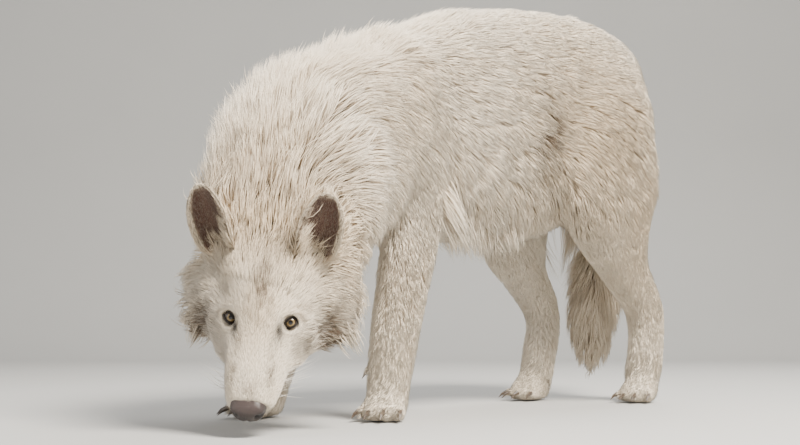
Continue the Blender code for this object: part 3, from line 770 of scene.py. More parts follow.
class Markings:
    """The coat's markings, as soft patches that skin and hair both read.

    A mark of the head lies in the head's axes, and one of the body in a part's box.
    """

    HEAD = [
        (Mark.WARM, (0.0, -0.1, 0.04), (0.07, 0.055, 0.06), 0.85),
        (Mark.WARM, (0.07, -0.11, 0.05), (0.045, 0.045, 0.06), 0.75),
        (Mark.WARM, (0.0, -0.005, 0.03), (0.022, 0.05, 0.04), 0.6),
        (Mark.SMOKE, (0.0, -0.022, 0.036), (0.009, 0.034, 0.02), 1.15),
        (Mark.SMOKE, (0.013, 0.002, 0.026), (0.006, 0.02, 0.016), 0.65),
        (Mark.SMOKE, (0.006, -0.075, 0.04), (0.014, 0.016, 0.03), 0.45),
        (Mark.SMOKE, (0.0, 0.108, -0.012), (0.011, 0.013, 0.014), 0.75),
        (Mark.SMOKE, (0.025, 0.084, -0.01), (0.004, 0.022, 0.012), 0.85),
        (Mark.SMOKE, (0.08, -0.008, -0.04), (0.018, 0.022, 0.028), 1.6),
        (Mark.SMOKE, (0.11, -0.07, -0.02), (0.02, 0.016, 0.03), 0.35),
        (Mark.WARM, (0.1, -0.03, -0.01), (0.03, 0.03, 0.03), 0.3),
        (Mark.DARK, (0.0295, 0.0235, 0.003), (0.0038, 0.0095, 0.014), 1.0),
        (Mark.SMOKE, (0.023, 0.044, 0.002), (0.0045, 0.014, 0.014), 0.7),
    ]
    BODY = [
        (Mark.WARM, "neck", (0.8039, 0.129, 0.2417), (0.07, 0.07, 0.08), 0.6),
        (Mark.SMOKE, "trunk", (0.7367, 0.5428, 0.5162), (0.07, 0.03, 0.052), 1.0),
        (Mark.SMOKE, "trunk", (0.729, 0.5059, 0.7346), (0.06, 0.06, 0.025), 0.12),
        (Mark.SMOKE, "thigh_left", (0.8927, 0.4351, 0.5695), (0.05, 0.04, 0.03), 0.3),
        (Mark.SMOKE, "trunk", (0.6853, 0.6007, 0.3677), (0.05, 0.024, 0.04), 0.28),
        (Mark.WARM, "thigh_left", (0.8307, 0.2424, 0.5426), (0.09, 0.14, 0.14), 0.75),
        (Mark.WARM, "thigh_left", (0.7687, 0.7241, 0.2198), (0.08, 0.12, 0.16), 0.7),
        (Mark.WARM, "neck", (0.6361, 0.6724, 0.5822), (0.1, 0.12, 0.14), 0.3),
        (Mark.SMOKE, "neck", (0.5881, 0.3192, 0.6276), (0.12, 0.1, 0.12), 0.17),
        (Mark.WARM, "forearm_left", (0.8703, 0.2391, 0.6405), (0.05, 0.06, 0.07), 0.3),
        (Mark.SMOKE, "upper_arm_left", (0.8943, 0.5493, 0.1025), (0.05, 0.03, 0.03), 0.1),
        (Mark.WARM, "tail", (0.6147, 0.4601, 0.4256), (0.06, 0.09, 0.2), 0.45),
        (Mark.SMOKE, "tail", (0.6147, 0.0336, 0.3259), (0.06, 0.03, 0.08), 0.06),
    ]

    def __init__(self, head: Head) -> None:
        """Sets the tints, and twins those that lie off the head's middle.

        Args:
            head: The head's axes.
        """
        self.head = head
        self.tints: list[Tint] = []
        for mark, at, size, strength in self.HEAD:
            for s in (-1.0, 1.0) if at[0] else (1.0,):
                self.tints.append(Tint(mark, (at[0] * s, at[1], at[2]), size, strength, True))
        for mark, part, at, size, strength in self.BODY:
            self.tints.append(Tint(mark, tuple(part_place(part, *at)), size, strength))

    def read(self, points: Array) -> Values:
        """Finds how strong each mark is at some places.

        Args:
            points: Places in the shared frame.

        Returns:
            Each mark's strength at each place, by the mark's name.
        """
        local = self.head.local(points)
        found = {mark.value: np.zeros(len(points)) for mark in Mark}
        for tint in self.tints:
            gaps = ((local if tint.on_head else points) - np.array(tint.at)) / np.array(tint.size)
            soft = tint.strength * np.exp(-0.5 * np.sum(gaps * gaps, axis=1))
            found[tint.mark.value] = np.maximum(found[tint.mark.value], soft)
        return found


# ---- meshes


def show(name: str, mesh: Mesh, material: Material) -> Object:
    """Puts a mesh in the scene as a piece of the wolf.

    Args:
        name: The piece's name.
        mesh: Its mesh, in the shared frame.
        material: Its finish.

    Returns:
        The new object.
    """
    piece = bpy.data.objects.new(name, mesh)
    bpy.context.scene.collection.objects.link(piece)
    mesh.materials.clear()
    mesh.materials.append(material)
    mesh.shade_smooth()
    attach(piece, BODY)
    log.info("%s: %d points", name, len(mesh.vertices))
    return piece


def ring_faces(rings: int, around: int, span: int) -> list[tuple[int, ...]]:
    """The quads between rings of points.

    Args:
        rings: How many rings.
        around: How many points each ring has.
        span: How many quads run round: one fewer than the points on an open ring.

    Returns:
        The quads' corners.
    """
    faces = []
    for i in range(rings - 1):
        for j in range(span):
            k = (j + 1) % around
            faces.append((i * around + j, i * around + k, (i + 1) * around + k, (i + 1) * around + j))
    return faces


def grid_mesh(name: str, *grids: Array, closed: bool = True, capped: bool = True) -> Mesh:
    """A mesh from rings of points.

    Args:
        name: The mesh's name.
        grids: Points as (rings, points round, 3), one array for each separate shape.
        closed: Whether each ring closes on itself.
        capped: Whether the first and last rings are filled.

    Returns:
        The mesh.
    """
    faces = []
    start = 0
    for rows in grids:
        rings, around = rows.shape[:2]
        made = ring_faces(rings, around, around if closed else around - 1)
        if capped:
            made.append(tuple(range(around))[::-1])
            made.append(tuple((rings - 1) * around + j for j in range(around)))
        faces += [tuple(start + v for v in face) for face in made]
        start += rings * around
    mesh = bpy.data.meshes.new(name)
    mesh.from_pydata(np.concatenate([rows.reshape(-1, 3) for rows in grids]).tolist(), [], faces)
    mesh.update()
    if capped:
        face_out(mesh)
    return mesh


def face_out(mesh: Mesh) -> None:
    """Turns a closed mesh the right way out, if it isn't.

    Args:
        mesh: The mesh, whose faces may be flipped.
    """
    solid = bmesh.new()
    solid.from_mesh(mesh)
    inside_out = solid.calc_volume(signed=True) < 0
    solid.free()
    if inside_out:
        mesh.flip_normals()


def read_rows(items: Sequence, name: str) -> Array:
    """Reads three numbers for each point of a mesh.

    Args:
        items: The mesh's points, or their normals.
        name: What is read of each.

    Returns:
        One row for each point.
    """
    flat = np.empty(len(items) * 3, dtype=np.float32)
    items.foreach_get(name, flat)
    return flat.reshape(-1, 3).astype(np.float64)


def read_points(mesh: Mesh) -> Array:
    """A mesh's points."""
    return read_rows(mesh.vertices, "co")


def read_normals(mesh: Mesh) -> Array:
    """The normals at a mesh's points."""
    return read_rows(mesh.vertex_normals, "vector")


def write_points(mesh: Mesh, points: Array) -> None:
    """Moves a mesh's points."""
    mesh.vertices.foreach_set("co", points.astype(np.float32).ravel())
    mesh.update()


def write_value(mesh: Mesh, name: str, values: Array) -> None:
    """Keeps one value for each point."""
    layer = mesh.attributes.new(name, "FLOAT", "POINT")
    layer.data.foreach_set("value", np.asarray(values, dtype=np.float32))


def write_coat(mesh: Mesh, lie: Lie, marks: Values, lock: float) -> None:
    """Keeps what the coat's finish reads on a surface of skin.

    Args:
        mesh: The surface.
        lie: The lie of the coat.
        marks: Each mark's strength at each point.
        lock: How dark the hair drawn on it is, from 0 to 1.
    """
    for name, values in marks.items():
        write_value(mesh, name, values)
    points = read_points(mesh)
    write_value(mesh, "along", rise_of(lie.read(points)[1]["length"], 0.3))
    write_value(mesh, "lock", np.full(len(points), lock))


class Softener:
    """Evens out a mesh by its own edges."""

    def __init__(self, mesh: Mesh) -> None:
        """Reads the edges once.

        Args:
            mesh: The mesh whose edges join neighbours.
        """
        ends = np.empty(len(mesh.edges) * 2, dtype=np.int32)
        mesh.edges.foreach_get("vertices", ends)
        ends = ends.reshape(-1, 2)
        self.here = np.concatenate([ends[:, 0], ends[:, 1]])
        self.there = np.concatenate([ends[:, 1], ends[:, 0]])
        self.count = len(mesh.vertices)
        self.degree = np.maximum(np.bincount(self.here, minlength=self.count), 1)

    def least(self, values: Array, times: int) -> Array:
        """Gives each point the smallest value within some steps of it.

        Args:
            values: One value for each point.
            times: How many edges away it looks.

        Returns:
            The smallest values.
        """
        for _ in range(times):
            low = values.copy()
            np.minimum.at(low, self.here, values[self.there])
            values = low
        return values

    def soften(self, values: Array, times: int, amount: Union[float, Array] = 0.5) -> Array:
        """Moves each point's values towards its neighbours' mean.

        Args:
            values: A row for each point.
            times: How often.
            amount: How far each time, from 0 to 1.

        Returns:
            The softened rows.
        """
        for _ in range(times):
            sums = [np.bincount(self.here, column[self.there], self.count) for column in values.T]
            mean = np.stack(sums, axis=1) / self.degree[:, None]
            values = values + (mean - values) * amount
        return values


def evaluated(piece: Object) -> Mesh:
    """The mesh that an object's modifiers give."""
    graph = bpy.context.evaluated_depsgraph_get()
    return bpy.data.meshes.new_from_object(piece.evaluated_get(graph))


def tree_of(mesh: Mesh) -> BVHTree:
    """A tree that finds the nearest place on a mesh."""
    return BVHTree.FromPolygons(read_points(mesh).tolist(), [tuple(p.vertices) for p in mesh.polygons])


# ---- ears


@dataclass
class Ear:
    """One ear: a thin leaf whose edges fold forward, and whose root sinks into the head."""

    head: Head
    s: float
    length: float = 0.096
    half_width: float = 0.0360
    thickness: float = 0.0030
    root: Triple = (0.080, -0.090, 0.034)
    up: Triple = (0.14, -0.44, 0.87)
    facing: Triple = (0.28, 0.80, 0.50)
    setback: float = 0.012  # how far behind its place the root sits
    fold: float = 0.70  # how far the edges stand forward at the root, as a share of the half width
    unfold: float = 0.42  # how much less they do at the tip
    buried: float = 0.24  # the share of the length that runs on below the root
    levels: int = 36
    across: int = 22
    plug_size: Triple = (0.027, 0.017, 0.016)  # of the flesh at the root, as half widths
    plug_shift: float = 0.006
    plug_rings: int = 10
    plug_around: int = 20

    def __post_init__(self) -> None:
        """Works out the leaf's own axes."""
        self.rise = self.head.turn(self.s * self.up[0], *self.up[1:]).normalized()
        front = self.head.turn(self.s * self.facing[0], *self.facing[1:])
        self.front = (front - self.rise * front.dot(self.rise)).normalized()
        side = self.rise.cross(self.front)
        self.side = side * (1 if side.dot(self.head.turn(self.s, 0, 0)) > 0 else -1)
        self.base = self.head.place(self.s * self.root[0], *self.root[1:]) - self.front * self.setback

    def width(self, t: Array) -> Array:
        """Finds half the leaf's width, which narrows below the root and rounds off at the tip.

        Args:
            t: Shares of the length, from the root up.

        Returns:
            Half the width there.
        """
        buried = 1 + 2.4 * np.clip(t, -0.3, 0)
        t = np.clip(t, 0, 1)
        return self.half_width * (1 - t**2.6) ** 0.6 * (0.80 + 0.55 * t - 0.35 * t * t) * buried

    def forward(self, t: Array, a: Array) -> Array:
        """How far the leaf stands forward of its middle; a runs from -1 inside to 1 outside."""
        return self.width(t) * (self.fold - self.unfold * np.clip(t, 0, 1)) * a * a

    def leaf(self, t: float, a: float) -> Vector:
        """A place on the leaf's front."""
        width = float(self.width(np.array(t)))
        return (
            self.base
            + self.rise * (self.length * t)
            + self.side * (width * a)
            + self.front * float(self.forward(np.array(t), np.array(a)))
        )

    def mesh(self) -> Mesh:
        """Builds the closed leaf, front and back.

        Returns:
            The leaf's mesh.
        """
        rows = []
        for i in range(self.levels):
            t = -self.buried + (0.996 + self.buried) * (i / (self.levels - 1)) ** 0.85
            slope = self.fold - self.unfold * max(t, 0.0)
            thick = min(self.thickness, float(self.width(np.array(t))) * 0.6)
            row = []
            for j in range(self.across + 1):
                row.append(self.leaf(t, 2 * j / self.across - 1))
            for j in range(self.across - 1, 0, -1):
                a = 2 * j / self.across - 1
                back = (self.side * (2 * slope * a) - self.front).normalized()
                row.append(self.leaf(t, a) + back * (thick * math.sqrt(1 - 0.8 * a * a)))
            rows.append(row)
        return grid_mesh("ear", np.array(rows))

    def plug(self) -> Facets:
        """A ball of flesh at the ear's root.

        Returns:
            The ball's points and faces.
        """
        rings, around = self.plug_rings, self.plug_around
        wide, deep, tall = self.plug_size
        middle = self.base + self.front * self.plug_shift - self.rise * self.plug_shift
        points = []
        for i in range(rings):
            polar = math.pi * (i + 0.02) / (rings - 0.96)
            for j in range(around):
                turn = 2 * math.pi * j / around
                points.append(
                    middle
                    + self.side * (wide * math.sin(polar) * math.cos(turn))
                    + self.front * (deep * math.sin(polar) * math.sin(turn))
                    + self.rise * (tall * math.cos(polar))
                )
        return np.array(points), ring_faces(rings, around, around)

    def local(self, points: Array) -> tuple[Array, Array, Array]:
        """Finds where some places lie on the leaf.

        Args:
            points: Places in the shared frame.

        Returns:
            Shares up the leaf and across it, and metres in front of it.
        """
        gap = points - np.array(self.base)
        t = gap @ np.array(self.rise) / self.length
        width = np.maximum(self.width(np.clip(t, 0, 0.98)), 0.004)
        a = gap @ np.array(self.side) / width
        return t, a, gap @ np.array(self.front) - self.forward(t, a)

    def slit(self, points: Array) -> Array:
        """How deep in the hollow at the cup's foot some places lie, where painted shade darkens the bare
        skin.
        """
        t, a, _ = self.local(points)
        return 0.9 * np.exp(-(((t - 0.04) / 0.20) ** 2) - ((a + 0.05) / 0.45) ** 2)

    def rim(self, points: Array) -> Array:
        """Finds how near the ear's upper rim some places lie.

        Args:
            points: Places in the shared frame.

        Returns:
            1 on the rim, 0 away from it.
        """
        t, a, ahead = self.local(points)
        edges = np.exp(-(((np.abs(a) - 1.0) / 0.16) ** 2))
        tip = np.exp(-(((t - 1.0) / 0.05) ** 2)) * (np.abs(a) < 1.2)
        upper = np.clip((t - 0.25) / 0.3, 0, 1)
        return np.clip(edges + tip, 0, 1) * upper * (t < 1.1) * (np.abs(ahead) < 0.008)

    def bare(self, points: Array) -> Array:
        """Finds how bare the skin is.

        Args:
            points: Places in the shared frame.

        Returns:
            1 in the cup, 0 at the rim, on the back and off the ear.
        """
        t, a, ahead = self.local(points)
        within = np.clip((0.88 - np.abs(a)) / 0.12, 0, 1)
        cup = within * np.clip((0.95 - t) / 0.06, 0, 1) * np.clip((t + 0.12) / 0.1, 0, 1)
        return cup * (ahead > -self.thickness * 0.45) * (ahead < 0.012)


# ---- skin


@dataclass
class Skin:
    """One closed skin inside the nodes of flesh, below them by the coat's depth."""

    head: Head
    lie: Lie
    markings: Markings
    ears: Sequence[Ear]
    body_voxel: float = 0.0070
    head_voxel: float = 0.0032
    swell: float = 0.0006
    sink_steps: int = 6
    ease: int = 30
    foot: float = 0.012  # below this height the coat is a foot's, and thin
    foot_depth: float = 0.0012
    jowl: Triple = (0.060, 0.042, -0.042)  # where the cheek flows into the muzzle
    jowl_size: Triple = (0.026, 0.030, 0.034)
    jowl_depth: float = 0.008
    tuck: float = 0.006  # how far the coarse body keeps below the fine head
    tuck_reach: float = 0.03
    rim: float = 0.020  # how far a thin rim's shallow coat reaches
    thick: float = 0.30
    thin_share: float = 0.24  # how much of a thin part's thickness the coat may take from one side
    low: Triple = (-0.165, -0.165, -0.130)  # the fine head's box, in the head's axes
    high: Triple = (0.165, 0.220, 0.125)

    def _gather(self, names: Sequence[str], voxel: float) -> Mesh:
        """Joins nodes and the ears' plugs, and remeshes them as one closed surface.

        Args:
            names: The nodes of flesh.
            voxel: The length of the new edges.

        Returns:
            The closed surface.
        """
        points = []
        faces = []
        start = 0
        for name in names:
            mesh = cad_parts[name].data
            points.append(read_points(mesh) + read_normals(mesh) * self.swell)
            faces += [tuple(start + v for v in p.vertices) for p in mesh.polygons]
            start += len(mesh.vertices)
        for ear in self.ears:
            plug, quads = ear.plug()
            points.append(plug)
            faces += [tuple(start + v for v in quad) for quad in quads]
            start += len(plug)
        joined = bpy.data.meshes.new("joined")
        joined.from_pydata(np.concatenate(points).tolist(), [], faces)
        return self._remesh(joined, voxel)

    @staticmethod
    def _remesh(mesh: Mesh, voxel: float) -> Mesh:
        """Makes one even closed surface.

        Args:
            mesh: Closed shapes that may overlap.
            voxel: The length of the new edges.

        Returns:
            The outer surface of them all.
        """
        piece = bpy.data.objects.new("remesh", mesh)
        bpy.context.scene.collection.objects.link(piece)
        modifier = piece.modifiers.new("even", "REMESH")
        modifier.mode = "VOXEL"
        modifier.voxel_size = voxel
        result = evaluated(piece)
        bpy.data.objects.remove(piece)
        return result

    def _sink(self, mesh: Mesh, voxel: float, extra: Callable[[Array], Array]) -> None:
        """Lowers a surface by the coat's depth, a little at a time.

        Args:
            mesh: The surface, which is changed.
            voxel: The length of its edges.
            extra: How much further each place is lowered.
        """
        softener = Softener(mesh)
        start = softener.soften(read_points(mesh), 8)
        write_points(mesh, start)
        wanted = self.lie.read(start)[1]["depth"]
        depth = np.minimum(wanted + extra(start), self._thickness(mesh) * self.thin_share)
        depth = softener.least(depth, round(self.rim / voxel))
        depth = softener.soften(depth[:, None], 12)[:, 0]
        foot = start[:, 2] < self.foot
        depth = np.where(foot, np.minimum(depth, self.foot_depth), depth)
        deep = np.clip((wanted - 0.006) / 0.02, 0, 0.5)[:, None] * ~foot[:, None]
        local = np.abs(self.head.local(start) * (1, 0, 0)) + self.head.local(start) * (0, 1, 1)
        near = np.exp(-(((local - self.jowl) / self.jowl_size) ** 2).sum(axis=1))
        deep = np.maximum(deep, 0.5 * near[:, None])
        depth = depth + self.jowl_depth * near
        points = softener.soften(start, self.ease, deep)
        for _ in range(self.sink_steps):
            write_points(mesh, points)
            normals = unit(softener.soften(read_normals(mesh), 5))
            points = points - normals * (depth / self.sink_steps)[:, None]
            points = softener.soften(points, 1, 0.3)
        points[:, 2] = np.maximum(points[:, 2], 0.0)
        write_points(mesh, points)

    def _thickness(self, mesh: Mesh) -> Array:
        """Finds how thick the flesh is under each point, along its normal.

        Args:
            mesh: The surface.

        Returns:
            The thickness at each point, or thick where it is more.
        """
        tree = tree_of(mesh)
        found = np.full(len(mesh.vertices), self.thick)
        nudge = 1e-4
        for i, (point, normal) in enumerate(zip(read_points(mesh), read_normals(mesh))):
            inward = Vector(-normal)
            hit = tree.ray_cast(Vector(point) + inward * nudge, inward, self.thick)
            if hit[0] is not None:
                found[i] = hit[3]
        return found

    def _coarse_extra(self, points: Array) -> Array:
        """Keeps the coarse body below the fine head that covers it.

        Args:
            points: Places on the coarse body.

        Returns:
            How much further each place is lowered.
        """
        local = self.head.local(points)
        inside = np.minimum(local - np.array(self.low), np.array(self.high) - local).min(axis=1)
        return self.tuck * np.clip(inside / self.tuck_reach, 0, 1)

    def build(self) -> Object:
        """Makes the skin, with its unwrap and markings.

        Returns:
            The skin.
        """
        flesh = flesh_names()
        body = self._gather([n for n in flesh if not n.startswith("ear_")], self.body_voxel)
        self._sink(body, self.body_voxel, self._coarse_extra)
        face = self._gather(["head", "lower_jaw", "neck"], self.head_voxel)
        self._sink(face, self.head_voxel, lambda points: np.zeros(len(points)))
        mesh = self._join(body, face)
        skin = show("skin", mesh, CoatFinish("skin", True).make())
        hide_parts(*flesh)
        self._unwrap(skin)
        points = read_points(mesh)
        marks = self.markings.read(points)
        for ear in self.ears:
            bare, slit = ear.bare(points), ear.slit(points)
            marks[Mark.PINK.value] = np.maximum(marks[Mark.PINK.value], bare)
            # painted shade in the hollow at the foot of each ear's cup
            marks[Mark.DARK.value] = np.maximum(marks[Mark.DARK.value], bare * slit)
        comb_along(mesh, self.head, self.lie)
        write_coat(mesh, self.lie, marks, 0.4)
        return skin

    def _join(self, body: Mesh, face: Mesh) -> Mesh:
        """Cuts the fine head off behind the ears and unites it with the body.

        Args:
            body: The coarse body.
            face: The fine head and neck.

        Returns:
            One closed mesh, with both ears.
        """
        (x0, y0, z0), (x1, y1, z1) = self.low, self.high
        ends = np.array([[(x0, y, z0), (x1, y, z0), (x1, y, z1), (x0, y, z1)] for y in (y0, y1)])
        box = grid_mesh("head_box", self.head.world(ends))
        meshes = [body, face, box] + [ear.mesh() for ear in self.ears]
        made = [bpy.data.objects.new(m.name, m) for m in meshes]
        for piece in made:
            bpy.context.scene.collection.objects.link(piece)
        steps = [(made[1], made[2], "INTERSECT"), (made[0], made[1], "UNION")]
        steps += [(made[0], ear, "UNION") for ear in made[3:]]
        for target, tool, how in steps:
            modifier = target.modifiers.new("join", "BOOLEAN")
            modifier.solver = "MANIFOLD"
            modifier.operation = how
            modifier.object = tool
        result = evaluated(made[0])
        for piece in made:
            bpy.data.objects.remove(piece)
        return result

    @staticmethod
    def _unwrap(skin: Object) -> None:
        """Unwraps the skin's own shape into the map that the bake uses.

        Args:
            skin: The skin.
        """
        skin.data.uv_layers.new(name=UV_NAME)
        bpy.context.view_layer.objects.active = skin
        skin.select_set(True)
        bpy.ops.object.mode_set(mode="EDIT")
        bpy.ops.mesh.select_all(action="SELECT")
        bpy.ops.uv.smart_project(angle_limit=math.radians(66), island_margin=0.001)
        bpy.ops.object.mode_set(mode="OBJECT")
        skin.select_set(False)


# ---- coat


@dataclass(frozen=True)
class Patch:
    """One part of the coat, and the nodes whose flesh it covers."""

    name: str
    nodes: tuple[str, ...]


PATCHES = (
    Patch("coat_head", ("head", "lower_jaw")),
    Patch("coat_ears", ("ear_left", "ear_right")),
    Patch("coat_neck", ("neck",)),
    Patch("coat_trunk", ("trunk",)),
    Patch("coat_shoulders", ("upper_arm_left", "upper_arm_right")),
    Patch("coat_forelegs", ("forearm_left", "forearm_right", "forepaw_left", "forepaw_right")),
    Patch("coat_haunches", ("thigh_left", "thigh_right")),
    Patch("coat_hind_legs", ("shank_left", "shank_right", "hindpaw_left", "hindpaw_right")),
    Patch("coat_tail", ("tail",)),
)
LENGTHS = (("short", 0.0, 0.023), ("middle", 0.023, 0.056), ("long", 0.056, 1.0))  # by 1, 2 and 3 bends


@dataclass(frozen=True)
class EarTuft:
    """Hairs in an ear's cup: how many, where their roots lie, how they stand, and how brown they are."""

    hairs: int
    up: tuple[float, float]
    across: tuple[float, float]
    lean: tuple[float, float]
    stand: float
    length: tuple[float, float]
    smoke: float
    pink: float


EAR_TUFTS = (
    EarTuft(260, (-0.06, 0.38), (-0.95, -0.5), (0.15, 0.75), 0.45, (0.01, 0.021), 0.1, 0.0),
    EarTuft(240, (0.2, 0.72), (-0.98, -0.62), (0.05, 0.55), 0.4, (0.008, 0.016), 0.5, 0.45),
    EarTuft(200, (-0.14, 0.1), (-0.6, 0.6), (0.1, 0.6), 0.5, (0.01, 0.02), 0.3, 0.1),
    EarTuft(1300, (0.0, 0.93), (-0.9, 0.2), (-0.1, 0.5), 0.12, (0.006, 0.01), 0.5, 0.84),
    EarTuft(800, (0.0, 0.9), (0.2, 0.92), (-0.5, 0.0), 0.1, (0.005, 0.009), 0.5, 0.8),
)


@dataclass(frozen=True)
class Lock:
    """A pointed lock of long hair: where it grows in a part's box, where it hangs, and its size."""

    part: str
    at: Triple
    toward: Triple
    length: float
    spread: float
    hairs: int


LOCKS = (
    Lock("upper_arm_left", (0.8409, 0.7718, 0.2579), (0.1, 0.3, -1.0), 0.105, 0.014, 240),
    Lock("upper_arm_right", (0.1406, 0.8655, 0.1716), (-0.1, 0.55, -1.0), 0.055, 0.02, 150),
    Lock("trunk", (0.5568, 0.4007, 0.1843), (0.05, 0.35, -1.0), 0.045, 0.016, 130),
    Lock("trunk", (0.5054, 0.4586, 0.1843), (0.05, 0.35, -1.0), 0.05, 0.016, 130),
    Lock("trunk", (0.5311, 0.5217, 0.1896), (0.05, 0.35, -1.0), 0.045, 0.016, 130),
    Lock("trunk", (0.3769, 0.4323, 0.1843), (-0.05, 0.35, -1.0), 0.045, 0.018, 130),
    Lock("trunk", (0.3769, 0.5059, 0.1896), (-0.05, 0.35, -1.0), 0.045, 0.018, 130),
    Lock("head", (0.8188, 0.7935, 0.4428), (0.2, 0.3, -1.0), 0.042, 0.014, 80),
    Lock("head", (0.2326, 0.1367, 0.4602), (-0.25, -0.2, -1.0), 0.034, 0.014, 70),
    Lock("tail", (0.4004, 0.1136, 0.4897), (-0.22, -0.26, -1.0), 0.1, 0.018, 240),
    Lock("tail", (0.2433, 0.1936, 0.4185), (-0.22, -0.24, -1.0), 0.1, 0.018, 240),
    Lock("tail", (0.2005, 0.2202, 0.3401), (-0.16, -0.17, -1.0), 0.09, 0.016, 220),
)


@dataclass
class Roots:
    """Where the hairs of one patch grow."""

    at: Array
    normal: Array
    unwrap: Array

    def pick(self, chosen: Array) -> "Roots":
        """Some of the roots."""
        return Roots(self.at[chosen], self.normal[chosen], self.unwrap[chosen])


@dataclass
class Coat:
    """The winter coat, as thin closed tufts that lie along the skin."""

    skin: Object
    lie: Lie
    markings: Markings
    ears: Sequence[Ear]
    eyes: Sequence["Eye"]
    most_triangles: int = 190000
    patch_size: float = 0.003
    bury: float = 0.0012  # how far a root starts below the skin
    sole: float = 0.003  # no hair grows below this height
    sharpest: float = 0.72  # the cosine of the sharpest bend that a hair keeps
    wander: float = 9.0  # how far a hair turns from the lie, in degrees
    stray_share: float = 0.07  # of the loosest hair, the share that stands out
    stray_lift: float = 1.35
    droop: float = 0.12  # how far a loose hair's tip hangs, as a share of its length
    reach: float = 0.09  # how far above a root the outline is looked for
    clump_size: float = 5.5  # clumps are this many hair spacings across
    flat: float = 0.45  # a tuft's thickness, as a share of its width
    toe_hairs: int = 80

    def build(self) -> None:
        """Makes every patch of the coat."""
        self.random = np.random.default_rng(SEED)
        self.tree = tree_of(self.skin.data)
        self.outline = self._outline()
        self.split = float((self.ears[0].base + self.ears[1].base) / 2 @ self.ears[1].side)
        self._read_skin()
        self.material = CoatFinish("coat").make()
        for number, patch in enumerate(PATCHES):
            sown = self._sow(np.flatnonzero(self.owner == number), patch.name == "coat_ears")
            lengths = self.lie.read(sown.at)[1]["length"]
            for bends, (word, least, most) in enumerate(LENGTHS, 1):
                roots = sown.pick((lengths >= least) & (lengths < most))
                if len(roots.at) < 50:
                    continue
                paths, values = self._lay(roots, bends, patch.name == "coat_ears")
                pieces = math.ceil(len(roots.at) * (6 * bends - 2) / self.most_triangles)
                order = np.argsort(roots.at[:, 1], kind="stable")
                for part, chosen in enumerate(np.array_split(order, pieces)):
                    name = f"{patch.name}_{word}" + (f"_{part + 1}" if pieces > 1 else "")
                    self._weave(name, roots, paths, values, chosen)
        self._ear_fringe()
        self._lid_hair()
        self._hanging_locks()
        self._toe_tufts()

    @staticmethod
    def _outline() -> BVHTree:
        """Joins the nodes of flesh as one tree, which the tips of the coat reach.

        Returns:
            The tree.
        """
        points: list[Vector] = []
        faces: list[tuple[int, ...]] = []
        for name in flesh_names():
            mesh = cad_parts[name].data
            start = len(points)
            points += [v.co.copy() for v in mesh.vertices]
            faces += [tuple(start + v for v in p.vertices) for p in mesh.polygons]
        return BVHTree.FromPolygons(points, faces)

    def _ear_fringe(self) -> None:
        """Soft hairs that cross the inner half of each ear's cup, and short brown ones that line it."""
        rows = []
        smoke: list[float] = []
        pink: list[float] = []
        for ear in self.ears:
            for tuft in EAR_TUFTS:
                smoke += [tuft.smoke] * tuft.hairs
                pink += [tuft.pink] * tuft.hairs
                for _ in range(tuft.hairs):
                    t = self.random.uniform(*tuft.up)
                    a = self.random.uniform(*tuft.across)
                    start = ear.leaf(t, a)
                    way = ear.side * self.random.uniform(*tuft.lean)
                    way += ear.rise * self.random.uniform(0.7, 1.1)
                    way = (way + ear.front * self.random.uniform(0.3, 1.0) * tuft.stand).normalized()
                    size = self.random.uniform(*tuft.length) * (1 - 0.5 * max(t, 0))
                    middle = start + way * size * 0.5
                    tip = start + way * size + ear.rise * size * 0.2 - ear.front * size * 0.12
                    rows.append((start - ear.front * 0.0012, middle, tip, ear.front))
        marks = {Mark.SMOKE.value: np.array(smoke), Mark.PINK.value: np.array(pink)}
        self._weave_rows("coat_ear_fringe", rows, (0.0007, 0.0011), 0.02, marks)

    def _hanging_locks(self) -> None:
        """Pointed locks that hang free at the shoulders, belly, ruff and top of the tail."""
        rows = []
        for lock in LOCKS:
            centre = part_place(lock.part, *lock.at)
            tip = centre + Vector(lock.toward).normalized() * lock.length
            for _ in range(lock.hairs):
                root = centre + Vector(self.random.normal(0, 1, 3)) * lock.spread
                hit = self.tree.find_nearest(root)
                away = root - centre
                size = self.random.uniform(0.55, 1.08)
                start = hit[0] - hit[1] * 0.001
                end = centre + (tip - centre) * size + away * 0.5
                bow = start.lerp(end, 0.45) + hit[1] * 0.005 + away * 0.3
                curve = []
                for t in (0, 0.34, 0.67, 1):
                    curve.append(start * (1 - t) ** 2 + bow * (2 * t * (1 - t)) + end * t * t)
                rows.append((*curve, hit[1]))
        self._weave_rows("coat_locks", rows, (0.0014, 0.0022), 0.05, {})

    def _toe_tufts(self) -> None:
        """Short hair that grows over the root of each claw."""
        rows = []
        for name in sorted(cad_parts):
            if "claw" not in name:
                continue
            points = [v.co.copy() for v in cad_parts[name].data.vertices]
            points.sort(key=lambda point: self.tree.find_nearest(point)[3])
            foot = sum(points[: len(points) // 3], Vector()) / (len(points) // 3)
            way = (sum(points, Vector()) / len(points) - foot).normalized()
            for _ in range(self.toe_hairs):
                root = foot - way * 0.004 + Vector(self.random.normal(0, 1, 3)) * 0.0032
                hit = self.tree.find_nearest(root)
                size = self.random.uniform(0.008, 0.013)
                out = hit[1] * 0.35 + way
                middle = hit[0] + out * size * 0.5
                tip = hit[0] + way * size * 1.1 + hit[1] * size * 0.22
                rows.append((hit[0] - hit[1] * 0.0008, middle, tip, hit[1]))
        self._weave_rows("coat_toes", rows, (0.0009, 0.0014), 0.012, {})

    def _lid_hair(self) -> None:
        """Very short hair over the lids, away from the eyes."""
        rows = [row for eye in self.eyes for row in eye.hairs(self.random)]
        at, normal, way = (np.array([row[i] for row in rows]) for i in range(3))
        size = np.array([row[3] for row in rows])[:, None]
        lie = unit(way + 0.6 * self.lie.read(at)[0])
        paths = np.stack([at - normal * 0.0003, at + lie * size + normal * 0.0016], axis=1)
        values = {"width": self.random.uniform(0.0005, 0.0008, len(rows)), "length": size[:, 0]}
        self._weave("coat_lids", self._root(at, normal), paths, values, np.arange(len(rows)))

